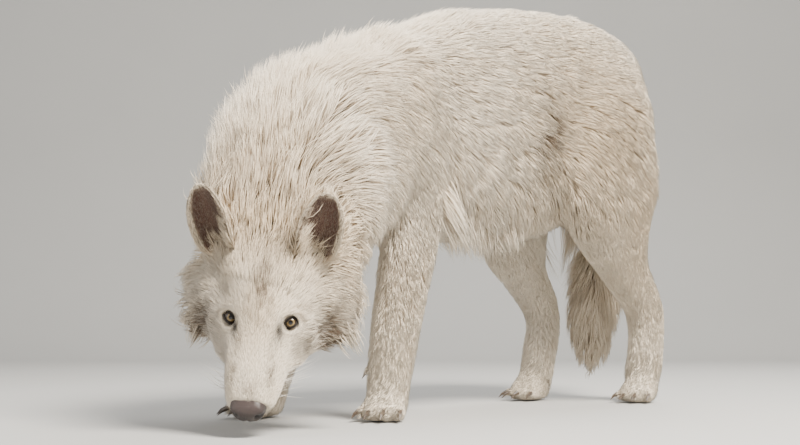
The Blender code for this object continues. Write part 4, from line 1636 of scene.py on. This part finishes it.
    def _root(self, at: Array, normal: Array) -> Roots:
        """Finds where hairs laid one by one grow on the skin's unwrap.

        Args:
            at: The roots.
            normal: The skin's normal at each.

        Returns:
            The roots, with their places on the unwrap.
        """
        polygons = self.skin.data.polygons
        unwrap = self.skin.data.uv_layers[UV_NAME].data
        places = [unwrap[polygons[self.tree.find_nearest(p)[2]].loop_start].uv for p in at.tolist()]
        return Roots(at, normal, np.array(places))

    def _weave_rows(
        self, name: str, rows: Sequence[tuple], width: tuple[float, float], length: float, marks: Values
    ) -> None:
        """Makes one piece of hairs laid one by one.

        Args:
            name: The piece's name.
            rows: The points along each hair, then the skin's normal at its root.
            width: The least and the most width of a hair.
            length: The length that all of them are shaded by.
            marks: The least strength of some marks on each hair.
        """
        paths = np.array([row[:-1] for row in rows])
        roots = self._root(paths[:, 0].copy(), np.array([row[-1] for row in rows]))
        paths[:, :, 2] = np.maximum(paths[:, :, 2], self.sole)
        count = len(rows)
        values = {"width": self.random.uniform(*width, count), "length": np.full(count, length), **marks}
        self._weave(name, roots, paths, values, np.arange(count))

    def _read_skin(self) -> None:
        """Splits the skin into triangles, each owned by the patch of the nearest node."""
        mesh = self.skin.data
        mesh.calc_loop_triangles()
        count = len(mesh.loop_triangles)
        corners = np.empty(count * 3, dtype=np.int32)
        mesh.loop_triangles.foreach_get("vertices", corners)
        loops = np.empty(count * 3, dtype=np.int32)
        mesh.loop_triangles.foreach_get("loops", loops)
        unwrap = np.empty(len(mesh.loops) * 2, dtype=np.float32)
        mesh.uv_layers[UV_NAME].data.foreach_get("uv", unwrap)
        points = read_points(mesh)
        self.corners = points[corners.reshape(-1, 3)]
        self.normals = read_normals(mesh)[corners.reshape(-1, 3)]
        self.unwraps = unwrap.reshape(-1, 2)[loops.reshape(-1, 3)]
        edges = self.corners[:, 1:] - self.corners[:, :1]
        self.areas = np.linalg.norm(np.cross(edges[:, 0], edges[:, 1]), axis=1) / 2
        owners = {node: number for number, patch in enumerate(PATCHES) for node in patch.nodes}
        centres = []
        labels = []
        for node, number in owners.items():
            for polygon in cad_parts[node].data.polygons:
                centres.append(polygon.center)
                labels.append(number)
        near = KDTree(len(centres))
        for i, centre in enumerate(centres):
            near.insert(centre, i)
        near.balance()
        middles = self.corners.mean(axis=1)
        self.owner = np.array([labels[near.find(m)[1]] for m in middles])
        log.info("skin area %.2f", self.areas.sum())

    def _sow(self, triangles: Array, on_ears: bool) -> Roots:
        """Spreads roots over some triangles, closer where the hair is finer.

        Args:
            triangles: The skin's triangles, by number.
            on_ears: Whether they are an ear's.

        Returns:
            The roots.
        """
        middles = self.corners[triangles].mean(axis=1)
        spacing = np.full(len(middles), EAR.spacing) if on_ears else self.lie.read(middles)[1]["spacing"]
        wanted = self.areas[triangles] / spacing**2
        for ear in self.ears:
            wanted = wanted * (ear.bare(middles) < 0.5)
        wanted = wanted * (middles[:, 2] > self.sole)
        counts = np.floor(wanted + self.random.random(len(wanted))).astype(int)
        chosen = np.repeat(triangles, counts)
        first, second = self.random.random((2, len(chosen)))
        over = first + second > 1
        first = np.where(over, 1 - first, first)
        second = np.where(over, 1 - second, second)
        weights = np.stack([1 - first - second, first, second], axis=1)[:, :, None]
        return Roots(
            np.sum(self.corners[chosen] * weights, axis=1),
            unit(np.sum(self.normals[chosen] * weights, axis=1)),
            np.sum(self.unwraps[chosen] * weights, axis=1),
        )

    def _nearest(self, points: Array) -> tuple[Array, Array]:
        """Finds the nearest places on the skin.

        Args:
            points: Places near the skin.

        Returns:
            The nearest places, and the normals there.
        """
        places = np.empty_like(points)
        normals = np.empty_like(points)
        for i, point in enumerate(points.tolist()):
            hit = self.tree.find_nearest(point)
            places[i] = hit[0]
            normals[i] = hit[1]
        return places, normals

    def _room(self, roots: Roots, values: Values) -> Array:
        """Measures how far the outline of the coat is above each root.

        Args:
            roots: The roots.
            values: The sizes of their hair.

        Returns:
            The height of the outline over each root.
        """
        room = np.empty(len(roots.at))
        for i, (place, normal) in enumerate(zip(roots.at.tolist(), roots.normal.tolist())):
            hit = self.outline.ray_cast(place, normal, self.reach)
            room[i] = values["depth"][i] if hit[0] is None else hit[3]
        return np.maximum(room, values["depth"] * 0.6)

    def _lay(self, roots: Roots, bends: int, on_ears: bool) -> tuple[Array, Values]:
        """Lays each hair along the skin, lifts it to the coat's depth and gathers it into clumps.

        Args:
            roots: The roots of one patch.
            bends: How many straight lengths each hair has.
            on_ears: Whether the hair is an ear's, which runs up to its tip.

        Returns:
            The points of each hair, and its sizes.
        """
        count = len(roots.at)
        toward, values = self.lie.read(roots.at)
        if on_ears:
            on_right = roots.at @ np.array(self.ears[1].side) > self.split
            toward = np.array([ear.rise for ear in self.ears])[on_right.astype(int)]
            values = {name: np.full(count, getattr(EAR, name)) for name in Lie.FIELDS}
        else:
            reach = 1 + 0.5 * values["loose"]
            values["depth"] = np.minimum(values["depth"], self._room(roots, values) * reach)
        loose = values["loose"]
        values["length"] = values["length"] * self.random.uniform(0.72, 1.18, count)
        uneven = self.random.uniform(0.75 + 0.2 * loose, 1.1 + 0.3 * loose)
        stray = self.random.random(count) < self.stray_share * loose
        values["depth"] = values["depth"] * uneven * np.where(stray, self.stray_lift, 1.0)
        length = values["length"][:, None]
        turn = np.radians(self.random.normal(0, self.wander, count))[:, None]
        way = flatten(toward, roots.normal)
        way = way * np.cos(turn) + np.cross(roots.normal, way) * np.sin(turn)
        rise = np.arcsin(np.clip(values["depth"] / values["length"], 0, 0.9))[:, None]
        free_way = way * np.cos(rise) + roots.normal * np.sin(rise)
        loose = loose[:, None]
        paths = np.empty((count, bends + 1, 3))
        paths[:, 0] = roots.at - roots.normal * np.minimum(self.bury, 0.03 * length)
        place, normal = roots.at, roots.normal
        for k in range(1, bends + 1):
            t = k / bends
            place, found = self._nearest(place + way * length * np.cos(rise) / bends)
            normal = unit(normal * 0.4 + found)
            way = flatten(way, normal)
            lift = values["depth"][:, None] * (1 - (1 - t) ** 1.8)
            hugging = place + normal * lift
            free = roots.at + free_way * length * t + np.array([0, 0, -self.droop]) * length * t * t * loose
            paths[:, k] = hugging * (1 - loose) + free * loose
        self._clump(roots, paths, values)
        if bends < 3:
            self._clear(paths, values)
        paths[:, :, 2] = np.maximum(paths[:, :, 2], self.sole / 2)
        return paths, values

    def _clear(self, paths: Array, values: Values) -> None:
        """Raises the ends of hairs whose straight lengths would cut through the skin.

        Args:
            paths: The points of each hair, which are changed.
            values: The sizes of the hair.
        """
        for k in range(1, paths.shape[1]):
            middle = (paths[:, k - 1] + paths[:, k]) / 2
            places, normals = self._nearest(middle)
            height = np.sum((middle - places) * normals, axis=1)
            short = np.clip(0.0003 + 0.22 * values["depth"] - height, 0, 0.006)
            paths[:, k:] += (2 * short[:, None] * normals)[:, None, :]

    def _clump(self, roots: Roots, paths: Array, values: Values) -> None:
        """Draws the tips together, so that the coat breaks into locks.

        Args:
            roots: The roots.
            paths: The points of each hair, which are changed.
            values: The sizes of the hair, which gain each hair's lead.
        """
        step = values["spacing"] * self.clump_size
        leads = np.flatnonzero(self.random.random(len(step)) < 1 / self.clump_size**2)
        if len(leads) < 2:
            return
        near = KDTree(len(leads))
        for i, lead in enumerate(leads):
            near.insert(roots.at[lead], i)
        near.balance()
        mine = leads[[near.find(p)[1] for p in roots.at.tolist()]]
        bends = paths.shape[1] - 1
        for k in range(1, bends + 1):
            pull = (values["clump"] * (k / bends) ** 1.2)[:, None]
            paths[:, k] = paths[:, k] * (1 - pull) + paths[mine, k] * pull
        values["lead"] = mine

    def _weave(self, name: str, roots: Roots, paths: Array, values: Values, chosen: Array) -> None:
        """Makes the tufts of one piece: three-sided spikes that taper along their paths.

        Args:
            name: The piece's name.
            roots: The roots of a patch.
            paths: The points of each hair.
            values: The sizes and marks of the hair.
            chosen: The hairs of this piece, by number.
        """
        steps = unit(np.diff(paths[chosen], axis=1))
        smooth = np.sum(steps[:, 1:] * steps[:, :-1], axis=2) > self.sharpest
        chosen = chosen[smooth.all(axis=1)]
        paths = paths[chosen]
        count, points = paths.shape[:2]
        bends = points - 1
        ways = np.empty_like(paths[:, :-1])
        ways[:, 0] = paths[:, 1] - paths[:, 0]
        for k in range(1, bends):
            ways[:, k] = paths[:, k + 1] - paths[:, k - 1]
        ways = unit(ways)
        across = unit(np.cross(ways, roots.normal[chosen][:, None, :]))
        above = np.cross(across, ways)
        width = values["width"][chosen]
        tuft = np.empty((count, 3 * bends + 1, 3))
        taper = ((1.0,), (1.0, 0.75), (1.0, 0.85, 0.55))[bends - 1]
        for k in range(bends):
            half = (width * taper[k] / 2)[:, None]
            tuft[:, 3 * k] = paths[:, k] - across[:, k] * half
            tuft[:, 3 * k + 1] = paths[:, k] + across[:, k] * half
            tuft[:, 3 * k + 2] = paths[:, k] + above[:, k] * half * 2 * self.flat
        tuft[:, -1] = paths[:, -1]
        mesh = self._mesh_of_tufts(name, tuft, bends)
        along = np.append(np.repeat(np.arange(bends) / bends, 3), 1.0)
        size = len(along)
        write_value(mesh, "along", rise_of(values["length"][chosen][:, None], along[None, :]).ravel())
        shade = self.random.random(count)
        if "lead" in values:
            shade = 0.55 * shade + 0.45 * self._by_lead(values["lead"][chosen])
        write_value(mesh, "lock", np.repeat(shade, size))
        for mark, strength in self.markings.read(roots.at[chosen]).items():
            if mark == Mark.SMOKE.value:
                for ear in self.ears:
                    strength = np.maximum(strength, 0.6 * ear.rim(roots.at[chosen]))
            if mark in values:
                strength = np.maximum(strength, values[mark][chosen])
            write_value(mesh, mark, np.repeat(strength, size))
        self._map(mesh, roots.unwrap[chosen], along)
        show(name, mesh, self.material)

    @staticmethod
    def _by_lead(lead: Array) -> Array:
        """One random number for each clump, by its lead's place in the list."""
        return np.random.default_rng(SEED).random(int(lead.max()) + 1)[lead]

    @staticmethod
    def _mesh_of_tufts(name: str, tuft: Array, bends: int) -> Mesh:
        """Joins the points into closed spikes, with their faces pointing out.

        Args:
            name: The mesh's name.
            tuft: Points as (tufts, points of a tuft, 3).
            bends: How many straight lengths each tuft has.

        Returns:
            The mesh.
        """
        count, size = tuft.shape[:2]
        pattern = [(0, 2, 1)]
        for k in range(bends - 1):
            for j in range(3):
                m = (j + 1) % 3
                pattern.append((3 * k + j, 3 * k + m, 3 * k + 3 + m, 3 * k + 3 + j))
        last = 3 * (bends - 1)
        pattern += [(last + j, last + (j + 1) % 3, last + 3) for j in range(3)]
        corners = np.concatenate([np.array(face) for face in pattern])
        sizes = np.array([len(face) for face in pattern])
        loops = (corners[None, :] + (np.arange(count) * size)[:, None]).ravel()
        totals = np.tile(sizes, count)
        mesh = bpy.data.meshes.new(name)
        mesh.vertices.add(count * size)
        mesh.vertices.foreach_set("co", tuft.astype(np.float32).ravel())
        mesh.loops.add(len(loops))
        mesh.loops.foreach_set("vertex_index", loops.astype(np.int32))
        mesh.polygons.add(len(totals))
        mesh.polygons.foreach_set("loop_start", (np.cumsum(totals) - totals).astype(np.int32))
        mesh.update(calc_edges=True)
        return mesh

    def _map(self, mesh: Mesh, unwrap: Array, along: Array) -> None:
        """Lays each tuft on a small patch of the unwrap, at its root.

        Args:
            mesh: The tufts.
            unwrap: Where each root lies on the skin's unwrap.
            along: How far along the tuft each of its points is.
        """
        around = np.append(np.tile(np.array([0.0, 1.0, 0.5]), len(along) // 3), 0.5)
        patch = (np.stack([around, along], axis=1) - 0.5) * self.patch_size
        points = (unwrap[:, None, :] + patch[None, :, :]).reshape(-1, 2)
        corners = np.empty(len(mesh.loops), dtype=np.int32)
        mesh.loops.foreach_get("vertex_index", corners)
        layer = mesh.uv_layers.new(name=UV_NAME)
        layer.data.foreach_set("uv", np.clip(points, 0, 1)[corners].astype(np.float32).ravel())


# ---- the face


@dataclass
class Eye:
    """An eyeball that looks ahead, and the black-rimmed lids that close over it."""

    head: Head
    side: str
    s: float
    skin: BVHTree
    lie: Lie
    markings: Markings
    gaze: Triple = (-0.137, 0.465, 0.873)
    facing: Triple = (0.15, 0.465, 0.873)
    slant: Triple = (-0.72, 0.70, -0.05)  # from the outer corner to the inner one
    outer_reach: float = 0.0108
    inner_reach: float = 0.0155
    upper: float = 0.0036
    lower: float = 0.0054
    lid: float = 0.0009  # the lid's thickness over the ball
    skirt: float = 0.0165  # how far the lids reach from the eye's middle
    rim: float = 0.0056  # how far the dark of the lids' edge reaches
    probe: float = 0.04  # how far in front of the eye the skin is looked for
    hair_count: int = 520
    rings: int = 14
    around: int = 56
    ball_steps: int = 48  # rings of the ball, and points round each

    def build(self) -> None:
        """Makes the ball and its lids."""
        node = f"eye_{self.side}"
        low, high = (Vector(v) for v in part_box(node))
        self.centre = (low + high) / 2
        self.radius = (high.x - low.x) / 2
        ball = show(f"{node}_ball", self._ball(), IrisFinish().make())
        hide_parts(node)
        show(f"{node}_lids", self._lids(), CoatFinish(f"{node}_lids").make())

    def hairs(self, random: np.random.Generator) -> list[tuple[Vector, Vector, Vector, float]]:
        """Sows the hairs that cover the lids.

        Args:
            random: The coat's random draws.

        Returns:
            Roots, normals, directions and lengths.
        """
        found = []
        for _ in range(self.hair_count):
            j = int(random.integers(0, self.around))
            share = random.uniform(0.58, 1.0)
            k = 1 + share * self.rings
            low = int(min(k, self.rings))
            here = self.grid[low][j].lerp(self.grid[low + 1][j], k - low)
            way = (self.grid[-1][j] - self.grid[4][j]).normalized()
            near = self.grid[low][(j + 1) % self.around]
            normal = (near - self.grid[low][j]).cross(way)
            normal = (normal * (1 if normal.dot(self.normal) > 0 else -1)).normalized()
            found.append((here, normal, way, random.uniform(0.0045, 0.0075)))
        return found

    def _ball(self) -> Mesh:
        """Turns a ball whose pole is its pupil, with a cornea that stands a little proud.

        Returns:
            The ball's mesh.
        """
        pole = self.head.turn(*self.gaze).normalized()
        side = pole.orthogonal().normalized()
        other = pole.cross(side)
        steps = self.ball_steps
        spread = (np.arange(steps) + 0.02) / (steps - 0.96) * math.pi
        turn = np.arange(steps) / steps * 2 * math.pi
        bulge = self.radius * (1 + 0.05 * np.exp(-((spread / 0.55) ** 4)))
        flat = np.cos(turn)[:, None] * np.array(side) + np.sin(turn)[:, None] * np.array(other)
        rows = (
            np.array(self.centre)
            + (bulge * np.cos(spread))[:, None, None] * np.array(pole)
            + (bulge * np.sin(spread))[:, None, None] * flat[None, :, :]
        )
        mesh = grid_mesh("ball", rows)
        write_value(mesh, "spread", np.repeat(spread / (math.pi / 2), steps))
        return mesh

    def _height(self, flat: Vector, share: float) -> float:
        """How far the lid stands from the eye's middle, along the way that it faces.

        Args:
            flat: The place across the opening.
            share: How far out it is: 0 at the opening's edge, 1 at the lids' end.

        Returns:
            The height of the lid's face.
        """
        over = self.radius + self.lid
        ball = math.sqrt(max(over**2 - flat.length_squared, 0.0))
        start = self.centre + flat + self.normal * self.probe
        hit = self.skin.ray_cast(start, -self.normal, 0.06)
        skin = ball if hit[0] is None else self.probe - hit[3]
        blend = min(max((share - 0.25) / 0.6, 0.0), 1.0)
        top = max(ball, skin + 0.0004) if share < 0.8 else skin - 0.0012 * (share - 0.8) / 0.2
        return ball * (1 - blend) + top * blend

    def _lids(self) -> Mesh:
        """Runs rings from inside the opening, over its edge and out under the fur.

        Returns:
            The lids' mesh.
        """
        self.normal = self.head.turn(self.s * self.facing[0], *self.facing[1:]).normalized()
        along = self.head.turn(self.s * self.slant[0], *self.slant[1:])
        along = (along - self.normal * along.dot(self.normal)).normalized()
        up = self.normal.cross(along)
        up *= 1 if up.dot(self.head.turn(0, -1, 0)) > 0 else -1
        rows = []
        edge_gap = []
        for k in range(-1, self.rings + 1):
            share = max(k, 0) / self.rings
            row = []
            for j in range(self.around):
                turn = 2 * math.pi * j / self.around
                x, y = math.cos(turn), math.sin(turn)
                reach = self.inner_reach if x > 0 else self.outer_reach
                tall = (self.upper if y > 0 else self.lower) * abs(y) ** 0.5 * (1 - 0.35 * max(x, 0))
                edge = along * (reach * x) + up * (tall * y)
                end = along * ((self.skirt + 0.004 * max(x, 0)) * x) + up * (self.skirt * y)
                flat = edge.lerp(end, share**1.3)
                height = self._height(flat, share)
                if k < 0:
                    flat = edge * 1.02
                    height = math.sqrt(max((self.radius - 0.001) ** 2 - flat.length_squared, 0.0)) - 0.001
                row.append(self.centre + flat + self.normal * height)
                edge_gap.append((flat - edge).length if k >= 0 else 0.0)
            rows.append(row)
        self.grid = rows
        mesh = grid_mesh("lids", np.array(rows), capped=False)
        softener = Softener(mesh)
        points = read_points(mesh)
        eased = softener.soften(points, 6, 0.4)
        fixed = self.around * 3
        points[fixed : -self.around] = eased[fixed : -self.around]
        write_points(mesh, points)
        marks = self.markings.read(points)
        dark = np.clip(1.5 - np.array(edge_gap) / self.rim, 0, 1)
        marks[Mark.DARK.value] = np.maximum(marks[Mark.DARK.value], dark)
        write_coat(mesh, self.lie, marks, 0.3)
        return mesh


@dataclass
class Nose:
    """The nose pad, with its two nostrils and the groove between them."""

    head: Head
    size: Triple = (0.0250, 0.0175, 0.0165)
    square: float = 0.82  # less than 1 makes the pad boxier
    rings: int = 56
    around: int = 96

    def build(self) -> None:
        """Makes the pad."""
        low, high = (Vector(v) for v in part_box("nose"))
        centre = self.head.local(np.array([(low + high) / 2]))[0]
        polar = (np.arange(self.rings) + 0.02) / (self.rings - 0.96) * math.pi
        turn = np.arange(self.around) / self.around * 2 * math.pi
        polar, turn = (v.ravel() for v in np.meshgrid(polar, turn, indexing="ij"))
        ways = np.stack([np.sin(polar) * np.cos(turn), np.cos(polar), np.sin(polar) * np.sin(turn)], axis=1)
        shape = np.sign(ways) * np.abs(ways) ** self.square * np.array(self.size)
        side = np.abs(ways[:, 0])
        shape[:, 0] *= 1 - 0.22 * np.clip(-ways[:, 2], 0, 1)
        hole = self._dent(side, ways, (0.62, 0.74, 0.16), 0.24)
        slit = self._dent(side, ways, (0.90, 0.40, 0.02), 0.20)
        wing = self._dent(side, ways, (0.74, 0.36, 0.58), 0.30)
        middle = np.exp(-((ways[:, 0] / 0.05) ** 2))
        groove = middle * np.clip(0.35 - ways[:, 2], 0, 1) * np.clip(ways[:, 1] * 2, 0, 1)
        scale = 1 - 0.34 * hole - 0.22 * slit + 0.06 * wing - 0.10 * groove
        points = self.head.world(centre + shape * scale[:, None])
        mesh = grid_mesh("nose_pad", points.reshape(self.rings, self.around, 3))
        # painted shade, black, in the nostrils and the slits beside them
        write_value(mesh, Mark.DARK.value, np.clip(1.6 * hole + 1.2 * slit - 0.35, 0, 1))
        write_value(mesh, Mark.PINK.value, np.clip(ways[:, 2] * 1.1 - 0.25, 0, 0.7))
        pad = show("nose_pad", mesh, NOSE_LEATHER.make())
        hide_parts("nose")

    @staticmethod
    def _dent(side: Array, ways: Array, at: Triple, width: float) -> Array:
        """A soft mirrored patch about one way out of the pad.

        Args:
            side: How far each way leans to either side.
            ways: Ways out of the pad.
            at: The middle of the patch, as a way.
            width: Its reach, in radians.

        Returns:
            1 at its middle, 0 away from it.
        """
        way = np.array(at) / np.linalg.norm(at)
        mirrored = np.stack([side, ways[:, 1], ways[:, 2]], axis=1)
        return np.exp(-((np.arccos(np.clip(mirrored @ way, -1, 1)) / width) ** 2))


@dataclass
class Mouth:
    """The dark line of the lips, and the whiskers; the line is in the head's axes."""

    head: Head
    skin: BVHTree
    lip: float = 0.0016
    lip_steps: int = 6  # between two places of the line
    whiskers: int = 16
    whisker: float = 0.00035
    whisker_steps: int = 8
    line: tuple[Triple, ...] = (
        (0.0, 0.128, -0.054),
        (0.012, 0.126, -0.056),
        (0.021, 0.114, -0.059),
        (0.025, 0.095, -0.061),
        (0.03, 0.06, -0.063),
        (0.036, 0.03, -0.067),
        (0.04, 0.01, -0.069),
    )

    def build(self) -> None:
        """Makes both lips and all the whiskers."""
        random = np.random.default_rng(SEED + 1)
        lips = LIP_LEATHER.make()
        hair = WHISKER_HAIR.make()
        for side, s in SIDES:
            places = [self.head.place(s * x, y, z) for x, y, z in self.line]
            path = []
            for a, b in zip(places, places[1:]):
                path += [a.lerp(b, i / self.lip_steps) for i in range(self.lip_steps)]
            path.append(places[-1])
            path = [self._on_skin(p, 0.0002) for p in path]
            widths = []
            for i in range(len(path)):
                swell = math.sin(math.pi * (0.25 + 0.7 * i / len(path)))
                widths.append(self.lip * (0.35 + 0.65 * swell))
            show(f"lips_{side}", grid_mesh("lips", self._rings(path, widths, 8)), lips)
            whiskers = [self._whisker(s, random) for _ in range(self.whiskers)]
            show(f"whiskers_{side}", grid_mesh("whiskers", *whiskers), hair)

    def _on_skin(self, place: Vector, lift: float) -> Vector:
        """The nearest place on the skin, lifted off it."""
        hit = self.skin.find_nearest(place)
        return hit[0] + hit[1] * lift

    def _whisker(self, s: float, random: np.random.Generator) -> Array:
        """Grows one whisker from the side of the muzzle.

        Args:
            s: The side's sign.
            random: The whiskers' random draws.

        Returns:
            The whisker's rings of points.
        """
        y = random.uniform(0.055, 0.098)
        z = random.uniform(-0.052, -0.028)
        root = self._on_skin(self.head.place(s * 0.03, y, z), -0.001)
        way = self.head.turn(s * 1.0, random.uniform(-0.9, -0.1), random.uniform(-0.7, 0.1)).normalized()
        droop = self.head.turn(0, -0.5, -0.5)
        size = random.uniform(0.030, 0.062)
        path = []
        widths = []
        for i in range(self.whisker_steps + 1):
            t = i / self.whisker_steps
            path.append(root + way * (size * t) + droop * (size * t**2 * 0.35))
            widths.append(self.whisker * (1 - 0.9 * t))
        return self._rings(path, widths, 4)

    @staticmethod
    def _rings(path: Sequence[Vector], widths: Sequence[float], around: int) -> Array:
        """Sets rings of points along a path.

        Args:
            path: The middle of each ring.
            widths: The radius of each.
            around: How many points it has.

        Returns:
            Points as (rings, points round, 3).
        """
        rows = []
        for i, place in enumerate(path):
            way = (path[min(i + 1, len(path) - 1)] - path[max(i - 1, 0)]).normalized()
            side = way.cross(Vector((0.3, 0.2, 0.93))).normalized() * widths[i]
            up = way.cross(side)
            turns = [2 * math.pi * j / around for j in range(around)]
            rows.append([place + side * math.cos(turn) + up * math.sin(turn) for turn in turns])
        return np.array(rows)


def dress_claws() -> None:
    """Gives the claws their horn."""
    horn = HornFinish().make()
    for name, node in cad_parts.items():
        if "claw" in name:
            node.data.materials.clear()
            node.data.materials.append(horn)


# ---- studio


@dataclass
class Studio:
    """A plain pale floor and backdrop, soft lights and the camera."""

    camera_at: Triple = (1.4730, -1.5029, 0.15)
    camera_turn: float = 47.5
    camera_rise: float = 5.13
    lens: float = 52.65
    floor: float = 9.0
    back: float = 3.2
    bend: float = 1.2
    bend_steps: int = 16
    wall: float = 5.0
    ambient: float = 0.66

    def build(self) -> None:
        """Sets the whole studio up."""
        self._sweep()
        self._lights()
        self._camera()

    def _sweep(self) -> None:
        """The floor, which bends up into the backdrop behind the wolf."""
        profile = [(-self.floor, 0.0), (0.0, 0.0)]
        for i in range(self.bend_steps + 1):
            angle = math.pi / 2 * i / self.bend_steps
            profile.append((self.back + self.bend * math.sin(angle), self.bend * (1 - math.cos(angle))))
        profile.append((self.back + self.bend, self.wall))
        turn = Matrix.Rotation(math.radians(self.camera_turn), 3, "Z")
        rows = np.array([[turn @ Vector((x, y, z)) for y, z in profile] for x in (-self.floor, self.floor)])
        mesh = grid_mesh("sweep", rows, closed=False, capped=False)
        sweep = bpy.data.objects.new("sweep", mesh)
        bpy.context.scene.collection.objects.link(sweep)
        mesh.materials.append(STUDIO_PAPER.make())
        mesh.shade_smooth()

    def _lights(self) -> None:
        """A large key on the right, a fill on the left, and one from above and behind."""
        rows = [
            ("key", (35.0, 48.0), 3.4, 1.3, 460.0, (1.0, 0.935, 0.84)),
            ("fill", (-60.0, 20.0), 3.6, 2.6, 30.0, (0.98, 0.98, 1.0)),
            ("rim", (150.0, 55.0), 3.4, 1.8, 90.0, (1.0, 0.98, 0.95)),
        ]
        middle = (Vector(CAD_LOW) + Vector(CAD_HIGH)) / 2
        for name, (turn, rise), distance, size, power, colour in rows:
            data = bpy.data.lights.new(name, "AREA")
            data.energy = power
            data.size = size
            data.color = colour
            light = bpy.data.objects.new(name, data)
            bpy.context.scene.collection.objects.link(light)
            angle = math.radians(self.camera_turn + turn)
            flat = Vector((math.sin(angle), -math.cos(angle), 0.0)) * math.cos(math.radians(rise))
            light.location = middle + (flat + Vector((0, 0, math.sin(math.radians(rise))))) * distance
            light.rotation_euler = (middle - light.location).to_track_quat("-Z", "Y").to_euler()
        world = bpy.data.worlds.new("studio")
        world.use_nodes = True
        sky = world.node_tree.nodes["Background"]
        sky.inputs["Color"].default_value = (1.0, 0.99, 0.97, 1.0)
        sky.inputs["Strength"].default_value = self.ambient
        bpy.context.scene.world = world

    def _camera(self) -> None:
        """The camera, low in front of the wolf's left side."""
        data = bpy.data.cameras.new("camera")
        data.lens = self.lens
        camera = bpy.data.objects.new("camera", data)
        camera.location = self.camera_at
        camera.rotation_euler = (math.radians(90 + self.camera_rise), 0.0, math.radians(self.camera_turn))
        bpy.context.scene.collection.objects.link(camera)
        bpy.context.scene.camera = camera


def main() -> None:
    """Builds and dresses every part in order."""
    logging.basicConfig(level=logging.INFO, format="%(name)s: %(message)s")
    head = Head()
    lie = Lie(head)
    markings = Markings(head)
    ears = [
        Ear(head, -1.0, root=(0.064, -0.090, 0.034), up=(0.22, -0.46, 0.86)),
        Ear(head, 1.0, root=(0.070, -0.090, 0.034), up=(0.33, -0.46, 0.84)),
    ]
    skin = Skin(head, lie, markings, ears).build()
    surface = tree_of(skin.data)
    eyes = [Eye(head, side, s, surface, lie, markings) for side, s in SIDES]
    for eye in eyes:
        eye.build()
    Coat(skin, lie, markings, ears, eyes).build()
    Nose(head).build()
    Mouth(head, surface).build()
    dress_claws()
    Studio().build()


if __name__ == "__main__":
    main()
